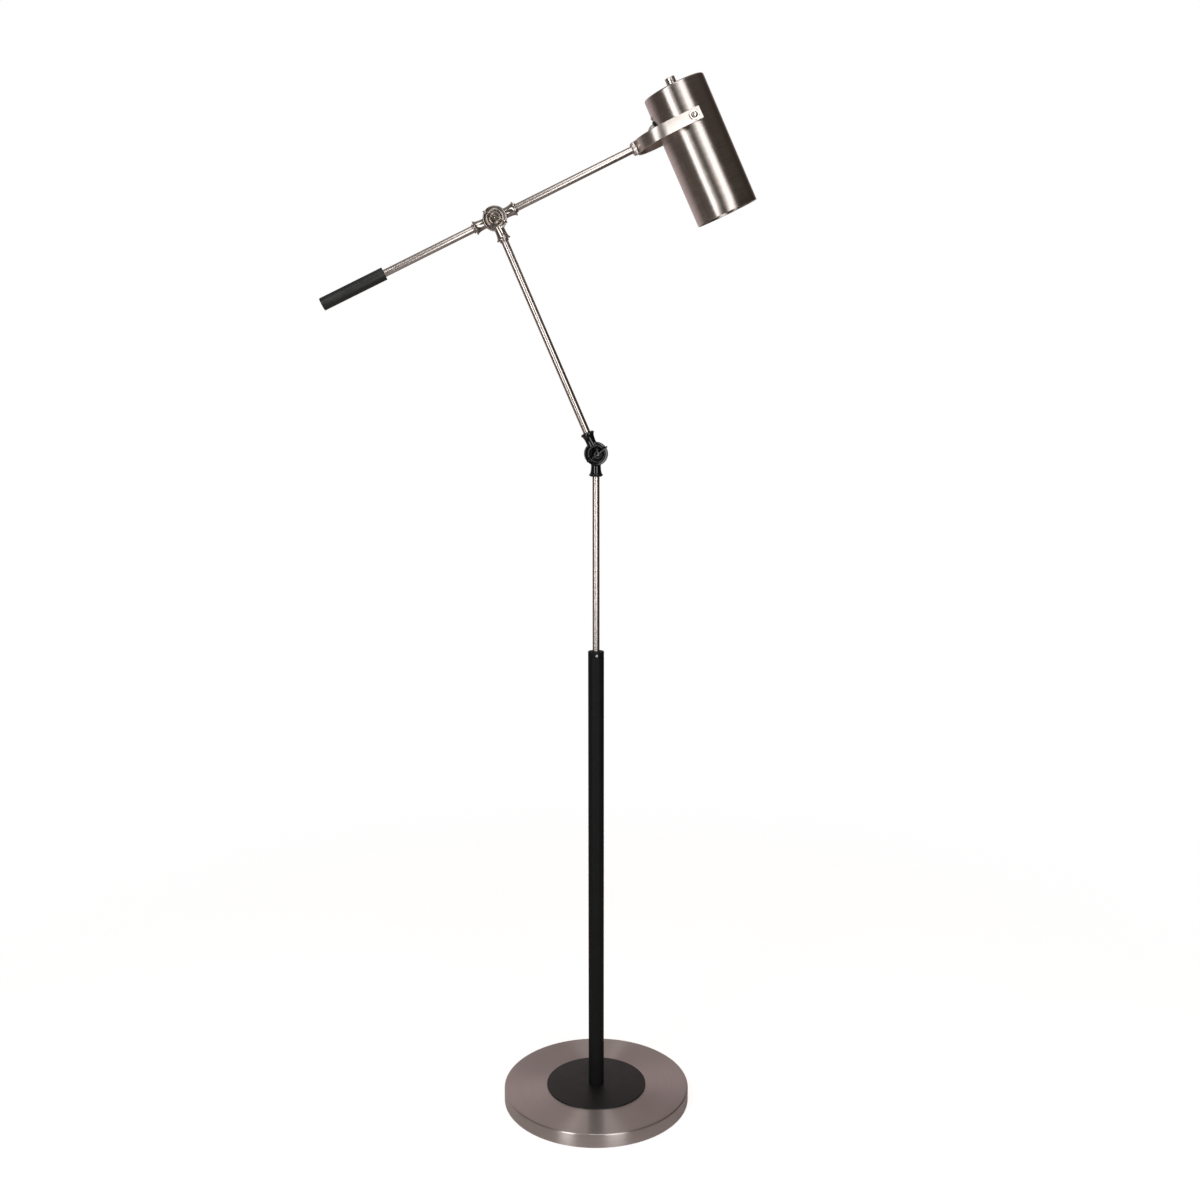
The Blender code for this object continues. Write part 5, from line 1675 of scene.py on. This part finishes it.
# ================================================================= shade
@dataclass
class Shade:
    """The brushed cylinder with its grommet, the bracket and its screw."""

    radius: float = reach("shade", 1)
    wall: float = 0.0010
    top: float = 0.0495
    length: float = 0.1821
    edge: float = 0.0025
    bushing: float = 0.00505
    pin: float = 0.0040
    lead_height: float = 0.0140
    lead_bore: float = 0.0038
    grommet_wall: float = 0.0012
    grommet_lip: float = 0.0014
    screw_height: float = 0.0241
    screw_radius: float = 0.0016
    head_radius: float = 0.0027
    head_thickness: float = 0.0016
    bracket_width: float = 0.0160
    bracket_thickness: float = 0.0015
    bracket_top: float = 0.0315
    bracket_foot: float = 0.0195
    bracket_tongue: float = 0.0100
    bracket_edge: float = 0.0002
    stud_radius: float = 0.0040
    slot_width: float = 0.44
    slot_floor: float = 0.45
    saw_reach: float = 0.0040
    saw_top: float = 0.0030

    def build(self) -> None:
        """Build and hand over the shade and what is fixed to its back."""
        self.build_shell()
        self.build_grommet()
        self.build_bracket()
        self.build_screw()

    def drilled(self, shell: bpy.types.Object, radius: float, seat: Seat, low: float) -> None:
        """Drill a round hole outwards through the shell.

        Args:
            shell: The shade.
            radius: The hole's radius.
            seat: The hole's seat, looking out of the shade.
            low: Where the drill starts on the seat's Z.
        """
        combine(shell, [plug("drill", radius, 2 * self.radius, low, seat)], "DIFFERENCE")

    def build_shell(self) -> None:
        """Spin the shade, with a rolled top edge and a hemmed mouth, and drill it."""
        mouth = self.top - self.length
        inside = self.radius - self.wall
        ceiling = self.top - self.wall
        inner_edge = self.edge - self.wall
        hem = self.wall / 2
        heights = stepped(self.top - self.edge, mouth + hem, 12)
        shell = turned("shell", [
            (self.bushing, self.top),
            *arc((self.radius - self.edge, self.top - self.edge), self.edge, QUARTER, 0.0, 10),
            *[(self.radius, height) for height in heights[1:-1]],
            *arc((self.radius - hem, mouth + hem), hem, 0.0, -math.pi, 6),
            *arc((inside - inner_edge, ceiling - inner_edge), inner_edge, 0.0, QUARTER, 5),
            (self.bushing, ceiling),
        ], SHADE_SIDES, SHADE_SEAT, hollow=True)
        self.drilled(shell, self.pin, SHADE_SEAT.facing_to(Facing.FRONT), -2 * self.radius)
        lead_hole = self.lead_bore + self.grommet_wall + GAP
        back = SHADE_SEAT.facing_to(Facing.TAIL)
        self.drilled(shell, lead_hole, back.shifted(0.0, 0.0, self.lead_height), 0.0)
        self.drilled(shell, self.screw_radius + GAP, back.shifted(0.0, 0.0, self.screw_height), 0.0)
        hand_over(shell, "shade", SHADE_NICKEL, SHADE_SEAT)

    def build_grommet(self) -> None:
        """Turn the rubber grommet round the lead."""
        seat = SHADE_SEAT.shifted(0.0, 0.0, self.lead_height).facing_to(Facing.TAIL)
        body = self.lead_bore + self.grommet_wall
        lip = self.grommet_lip
        hole = body + GAP
        sagitta = self.radius - math.sqrt(self.radius ** 2 - hole ** 2)
        inside_end = self.radius - self.wall - sagitta - lip
        face = self.radius + GAP
        half = lip / 2
        grommet = turned("grommet", [
            (body, inside_end),
            (body, face),
            (body + lip, face),
            *arc((body + lip - half, face + half), half, 0.0, QUARTER, 5),
            *arc((self.lead_bore + half, face + half), half, QUARTER, math.pi, 5),
            (self.lead_bore, inside_end),
        ], SMALL_SIDES, seat, hollow=True)
        hand_over(grommet, "shade_grommet", RUBBER, seat)

    def build_bracket(self) -> None:
        """Bend the angle bracket out of strip and drill it."""
        half = self.bracket_width / 2
        back = -math.sqrt((self.radius - self.wall - GAP) ** 2 - half ** 2)
        front = back + self.bracket_thickness
        shelf = self.bracket_top - self.bracket_thickness
        bend = self.bracket_thickness
        outline = [
            *arc((back + bend, self.bracket_top - bend), bend, QUARTER, math.pi, 6),
            (back, self.bracket_foot),
            (front, self.bracket_foot),
            (front, shelf),
            (self.bracket_tongue, shelf),
            (self.bracket_tongue, self.bracket_top),
        ]
        seat = SHADE_SEAT.facing_to(Facing.FRONT)
        bracket = plate("bracket", outline, -half, half, seat, self.bracket_edge, 2)
        stud = plug("stud", self.stud_radius + GAP, self.bracket_top + GAP, shelf - GAP, SHADE_SEAT)
        tapped = SHADE_SEAT.shifted(0.0, 0.0, self.screw_height).facing_to(Facing.TAIL)
        hole = plug("hole", self.screw_radius + GAP, self.radius, -front - GAP, tapped)
        combine(bracket, [stud, hole], "DIFFERENCE")
        hand_over(bracket, "holder_bracket", ZINC, SHADE_SEAT)

    def build_screw(self) -> None:
        """Turn the domed bracket screw and saw its slot."""
        seat = SHADE_SEAT.shifted(0.0, 0.0, self.screw_height).facing_to(Facing.TAIL)
        low = self.radius + GAP
        back = math.sqrt((self.radius - self.wall - GAP) ** 2 - (self.bracket_width / 2) ** 2)
        tip = back - 2 * self.bracket_thickness
        dome = oval((0.0, low), self.head_radius, self.head_thickness, QUARTER, 0.0, 8)
        screw = turned("screw", [
            *dome, (self.screw_radius, low), (self.screw_radius, tip), (0.0, tip),
        ], SMALL_SIDES, seat)
        blade = self.head_thickness * self.slot_width / 2
        wide = self.saw_reach
        outline = [(-wide, -blade), (wide, -blade), (wide, blade), (-wide, blade)]
        floor = low + self.head_thickness * self.slot_floor
        saw = plate("saw", outline, floor, low + self.saw_top, seat)
        combine(screw, [saw], "DIFFERENCE")
        hand_over(screw, "bracket_screw", BRIGHT_NICKEL, seat)


# ================================================================= switch
@dataclass
class Switch:
    """The rotary switch's ring nut and fluted knob on the top of the shade."""

    shade_top: float = 0.0495
    nut_radius: float = 0.0068
    nut_height: float = 0.0020
    bushing: float = 0.00505
    knob_radius: float = 0.0070
    knob_height: float = 0.0108
    knob_low: float = 0.0523
    flutes: int = 24
    flute_depth: float = 0.00012
    steps_per_flute: int = 6
    crown: float = 0.0006
    bushing_height: float = 0.0045
    bushing_room: float = 0.0005
    bushing_fit: float = 0.00525
    shaft_radius: float = 0.0028
    shaft_roof: float = 0.0030

    def build(self) -> None:
        """Build and hand over the ring nut and the knob."""
        low = self.shade_top + GAP
        nut = ring("ring", self.bushing, self.nut_radius, low + self.nut_height, low, SHADE_SEAT, 3)
        hand_over(nut, "switch_nut", BRIGHT_NICKEL, SHADE_SEAT)
        self.build_knob()
        dress_node("switch_body", SHADE_SEAT)

    def build_knob(self) -> None:
        """Build the fluted knob, crowned on top and hollow below."""
        count = self.flutes * self.steps_per_flute
        outline = []
        for index in range(count):
            angle = 2 * math.pi * index / count
            swing = (1 - math.cos(self.flutes * angle)) / 2
            radius = self.knob_radius - self.flute_depth * swing
            outline.append((radius * math.cos(angle), radius * math.sin(angle)))
        high = self.knob_low + self.knob_height - GAP / 10
        knob = plate("knob", outline, self.knob_low, high)
        body = self.knob_radius + GAP
        crown = self.crown
        lathe = turned("lathe", [
            (0.0, high),
            *arc((self.knob_radius - crown, high - crown), crown, QUARTER, 0.0, 6),
            (body, high - crown - GAP),
            (body, self.knob_low - GAP),
            (0.0, self.knob_low - GAP),
        ], JOINT_SIDES)
        combine(knob, [lathe], "INTERSECT")
        bushing_top = self.shade_top + self.bushing_height + self.bushing_room
        roof = high - self.shaft_roof
        below = self.knob_low - 2 * GAP
        drill = turned("drill", [
            (0.0, roof), (self.shaft_radius, roof), (self.shaft_radius, bushing_top),
            (self.bushing_fit, bushing_top), (self.bushing_fit, below), (0.0, below),
        ], SMALL_SIDES)
        combine(knob, [drill], "DIFFERENCE")
        settle(knob, SHADE_SEAT)
        hand_over(knob, "switch_knob", BRIGHT_NICKEL, SHADE_SEAT, math.radians(40.0))


# ================================================================= lamp holder and bulb
@dataclass
class HolderAndBulb:
    """The lamp holder under its bracket, and the bulb in it."""

    shelf: float = 0.0300
    holder_length: float = 0.0430
    holder_radius: float = 0.0185
    holder_bore: float = 0.0150
    shoulder_radius: float = 0.0150
    ceiling_depth: float = 0.0110
    stud_radius: float = 0.0040
    nut_flats: float = 0.0120
    nut_height: float = 0.0025
    contact_height: float = 0.0028
    contact_radius: float = 0.0040
    cap_radius: float = 0.0131
    cap_length: float = 0.0260
    cap_wall: float = 0.0006
    thread_depth: float = 0.0005
    thread_pitch: float = 0.0036
    bulb_radius: float = 0.0300
    bulb_length: float = 0.0790
    bulb_neck: float = 0.0129
    bulb_wall: float = 0.0010
    bulb_lip: float = 0.0010
    shelf_thickness: float = 0.0015
    shoulder: float = 0.0020
    ribs: int = 5
    rib_start: float = 0.0030
    rib_end: float = 0.0100
    rib_depth: float = 0.0005
    rib_crest: float = 0.0010
    rib_floor: float = 0.0004
    holder_edge: float = 0.0002
    thread_steps: int = 8

    def build(self) -> None:
        """Build and hand over the holder, its nut, the bulb's cap and its glass."""
        self.build_holder()
        seat = SHADE_SEAT.shifted(0.0, 0.0, self.shelf + self.shelf_thickness + GAP)
        nut = hex_nut("nut", self.nut_flats, self.nut_height, self.stud_radius + GAP, seat)
        hand_over(nut, "holder_nut", ZINC, SHADE_SEAT)
        cap_top = self.shelf - GAP - self.ceiling_depth - GAP - self.contact_height - GAP
        self.build_cap(cap_top)
        self.build_glass(cap_top - self.cap_length - GAP)
        for node in ("contact_shell", "centre_contact"):
            dress_node(node, SHADE_SEAT)

    def build_holder(self) -> None:
        """Turn the moulded holder with its ribbed skirt."""
        top = self.shelf - GAP
        bottom = top - self.holder_length
        ceiling = top - self.ceiling_depth
        stud_top = self.shelf + self.shelf_thickness + GAP + self.nut_height
        shoulder = self.shoulder
        floor = self.holder_radius - self.rib_depth
        ribs = []
        for height in stepped(ceiling - self.rib_start, bottom + self.rib_end, self.ribs):
            ribs += [
                (self.holder_radius, height + self.rib_crest),
                (floor, height + self.rib_floor),
                (floor, height - self.rib_floor),
                (self.holder_radius, height - self.rib_crest),
            ]
        holder = turned("holder", [
            (0.0, stud_top),
            (self.stud_radius, stud_top),
            (self.stud_radius, top),
            *arc((self.shoulder_radius - shoulder, top - shoulder), shoulder, QUARTER, 0.0, 6),
            (self.holder_radius, ceiling),
            *ribs,
            (self.holder_radius, bottom),
            (self.holder_bore, bottom),
            (self.holder_bore, ceiling),
            (0.0, ceiling),
        ], JOINT_SIDES, SHADE_SEAT)
        rounded(holder, self.holder_edge, 2, math.radians(40.0))
        hand_over(holder, "lamp_holder", PHENOLIC, SHADE_SEAT)

    def build_cap(self, top: float) -> None:
        """Roll the bulb's screw cap.

        Args:
            top: Height of the cap's contact.
        """
        shoulder = top - 2 * self.contact_radius
        low = top - self.cap_length
        turns = int((shoulder - low) / self.thread_pitch)
        steps = self.thread_steps
        outside = []
        for index in range(turns * steps + 1):
            wave = (1 - math.cos(2 * math.pi * index / steps)) / 2
            outside.append((self.cap_radius - self.thread_depth * wave,
                            shoulder - self.thread_pitch * index / steps))
        inside = [(radius - self.cap_wall, height) for radius, height in reversed(outside)]
        cap = turned("screw_cap", [
            (0.0, top),
            (self.contact_radius, top - 0.0003),
            (self.contact_radius + 0.0005, top - 0.0012),
            *outside,
            (self.cap_radius, low),
            (self.cap_radius - self.cap_wall, low),
            *inside,
            (self.contact_radius, top - 0.0020),
            (0.0, top - 0.0015),
        ], ROD_SIDES, SHADE_SEAT)
        hand_over(cap, "bulb_cap", ZINC, SHADE_SEAT)

    def build_glass(self, top: float) -> None:
        """Blow the pear-shaped glass.

        Args:
            top: Height of the glass's open neck.
        """
        rise = self.bulb_length - self.bulb_radius
        centre = top - rise
        slope = math.atan2(rise, self.bulb_neck) - math.acos(
            self.bulb_radius / math.hypot(rise, self.bulb_neck))
        outside = arc((0.0, centre), self.bulb_radius, slope, -QUARTER, 28)
        inside = arc((0.0, centre), self.bulb_radius - self.bulb_wall, -QUARTER, slope, 28)
        glass = turned("glass", [
            (self.bulb_neck, top),
            (self.bulb_neck, top - self.bulb_lip),
            *outside,
            *inside,
            (self.bulb_neck - self.bulb_wall, top),
        ], JOINT_SIDES, SHADE_SEAT, hollow=True)
        hand_over(glass, "bulb_glass", FROSTED, SHADE_SEAT)


# ================================================================= studio
@dataclass(frozen=True)
class Panel:
    """A soft light panel: its name, place, width and height, and power in watts."""

    name: str
    place: tuple[float, float, float]
    size: tuple[float, float]
    power: float

    def build(self, aim: Vector) -> None:
        """Hang the panel so that it looks at a point.

        Args:
            aim: The point.
        """
        data = bpy.data.lights.new(self.name, "AREA")
        data.shape = "RECTANGLE"
        data.size, data.size_y = self.size
        data.energy = self.power
        light = bpy.data.objects.new(self.name, data)
        light.location = self.place
        light.rotation_euler = (aim - light.location).to_track_quat("-Z", "Y").to_euler()
        light.visible_camera = False
        bpy.context.scene.collection.objects.link(light)


@dataclass
class Studio:
    """A pale floor, soft panels of light, a dim room and the camera."""

    camera_place: tuple[float, float, float] = (-0.1660, -1.8467, 1.0735)
    camera_pitch: float = math.radians(9.242)
    camera_turn: float = math.radians(5.314)
    lens: float = 39.137
    panels: tuple["Panel", ...] = (
        Panel("left_strip", (-1.32, -1.65, 1.25), (0.48, 2.5), 17.7),
        Panel("right_strip", (0.66, -2.14, 1.25), (0.80, 2.5), 19.3),
        Panel("overhead", (-0.15, -1.30, 3.00), (1.2, 1.0), 9.0),
    )
    aim: tuple[float, float, float] = (0.0, 0.0, 1.0)
    floor_radius: float = 6.0

    def build(self) -> None:
        """Build the camera, the lights, the room and the floor."""
        self.build_camera()
        self.build_panels()
        self.build_room()
        self.build_floor()
        bpy.context.scene.view_settings.view_transform = "Standard"

    def build_camera(self) -> None:
        """Add the camera, level and looking slightly down."""
        data = bpy.data.cameras.new("camera")
        data.lens = self.lens
        camera = bpy.data.objects.new("camera", data)
        camera.location = self.camera_place
        camera.rotation_euler = (QUARTER - self.camera_pitch, 0.0, -self.camera_turn)
        bpy.context.scene.collection.objects.link(camera)
        bpy.context.scene.camera = camera

    def build_panels(self) -> None:
        """Hang the panels: two upright strips beside the camera and one overhead."""
        for panel in self.panels:
            height = panel.place[2] if panel.size[1] > panel.size[0] else self.aim[2]
            panel.build(Vector((self.aim[0], self.aim[1], height)))

    def build_room(self) -> None:
        """Light the room softly: pale behind the lamp, dim at its sides, white where one looks."""
        world = bpy.data.worlds.new("studio")
        bpy.context.scene.world = world
        world.use_nodes = True
        graph = Graph(world.node_tree)
        world.node_tree.nodes.clear()
        way = graph.add("ShaderNodeTexCoord").outputs["Generated"]
        parts = graph.add("ShaderNodeSeparateXYZ", {0: way})
        behind = graph.math("MULTIPLY_ADD", parts.outputs["X"], -0.25, parts.outputs["Y"])
        backdrop = graph.tint(graph.spread(behind, 0.40, 1.16), (0.040, 0.031, 0.023),
                              (0.62, 0.53, 0.535))
        left = graph.math("MULTIPLY", parts.outputs["X"], -1.0)
        side = graph.tint(graph.spread(left, 0.2, 0.9), (0.0, 0.0, 0.0), (0.05, 0.045, 0.043))
        above = graph.tint(graph.spread(parts.outputs["Z"], 0.5, 1.0), (0.0, 0.0, 0.0),
                           (0.25, 0.23, 0.22))
        total = graph.vector("ADD", graph.vector("ADD", backdrop, side), above)
        room = graph.add("ShaderNodeBackground", {0: total, 1: 1.0})
        white = graph.add("ShaderNodeBackground", {0: (1.0, 1.0, 1.0, 1.0), 1: 1.0})
        seen = graph.add("ShaderNodeLightPath").outputs["Is Camera Ray"]
        mixed = graph.add("ShaderNodeMixShader", {0: seen, 1: room.outputs[0], 2: white.outputs[0]})
        graph.add("ShaderNodeOutputWorld", {0: mixed.outputs[0]})

    def build_floor(self) -> None:
        """Lay the pale floor, which fades into the room far from the lamp."""
        floor = turned("floor", [(0.0, 0.0), (self.floor_radius, 0.0)], SMALL_SIDES)
        material = bpy.data.materials.new("Pale floor")
        material.use_nodes = True
        graph = Graph(material.node_tree)
        material.node_tree.nodes.clear()
        place = graph.add("ShaderNodeTexCoord").outputs["Object"]
        far = graph.add("ShaderNodeVectorMath", {0: place}, operation="LENGTH").outputs["Value"]
        speck = graph.noise(place, 30.0, 4.0, 0.6)
        colour = graph.tint(speck, (0.74, 0.69, 0.68), (0.77, 0.72, 0.71))
        matt = graph.add("ShaderNodeBsdfDiffuse", {0: colour})
        glow = graph.add("ShaderNodeEmission", {0: (1.0, 1.0, 1.0, 1.0), 1: 0.75})
        seen = graph.add("ShaderNodeLightPath").outputs["Is Camera Ray"]
        dark = graph.add("ShaderNodeEmission", {0: (0.0, 0.0, 0.0, 1.0), 1: 0.0})
        shown = graph.add("ShaderNodeMixShader", {0: seen, 1: dark.outputs[0], 2: glow.outputs[0]})
        lit = graph.add("ShaderNodeAddShader", {0: matt.outputs[0], 1: shown.outputs[0]})
        clear = graph.add("ShaderNodeBsdfTransparent")
        fade = graph.spread(far, 0.4, 1.6)
        mixed = graph.add("ShaderNodeMixShader", {0: fade, 1: lit.outputs[0], 2: clear.outputs[0]})
        graph.add("ShaderNodeOutputMaterial", {0: mixed.outputs[0]})
        floor.data.materials.append(material)


# ================================================================= whole lamp
def make_knuckle() -> ClampJoint:
    """Return the gloss black clamp joint between the pole and the post."""
    return ClampJoint("knuckle", "knuckle_upper_half", "knuckle_lower_half", POST_SEAT, KNUCKLE_SEAT,
                      (Facing.UP,), (Facing.DOWN,), math.radians(37.4), ENAMEL_BLACK,
                      CollarEnd.ROUNDED, boss_radius=0.0045, boss_foot=0.0087, boss_rise=0.0013)


def make_cross() -> ClampJoint:
    """Return the nickel clamp joint between the post and the arm."""
    return ClampJoint("cross", "cross_stem_half", "cross_arm_half", STEM_SEAT, ARM_SEAT,
                      (Facing.DOWN,), (Facing.ALONG, Facing.TAIL), math.radians(-23.2) + ARM_LEAN,
                      CAST_NICKEL, CollarEnd.RINGED)


def main() -> None:
    """Build the studio and every sub-assembly in order."""
    logging.basicConfig(level=logging.INFO, format="%(name)s: %(message)s")
    for assembly in (Studio(), Base(), Pole(), make_knuckle(), RodsAndWeight(), make_cross(), Fork(),
                     HeadLead(), Shade(), Switch(), HolderAndBulb()):
        LOG.info("building %s", type(assembly).__name__)
        assembly.build()
    let_go()


if __name__ == "__main__":
    main()
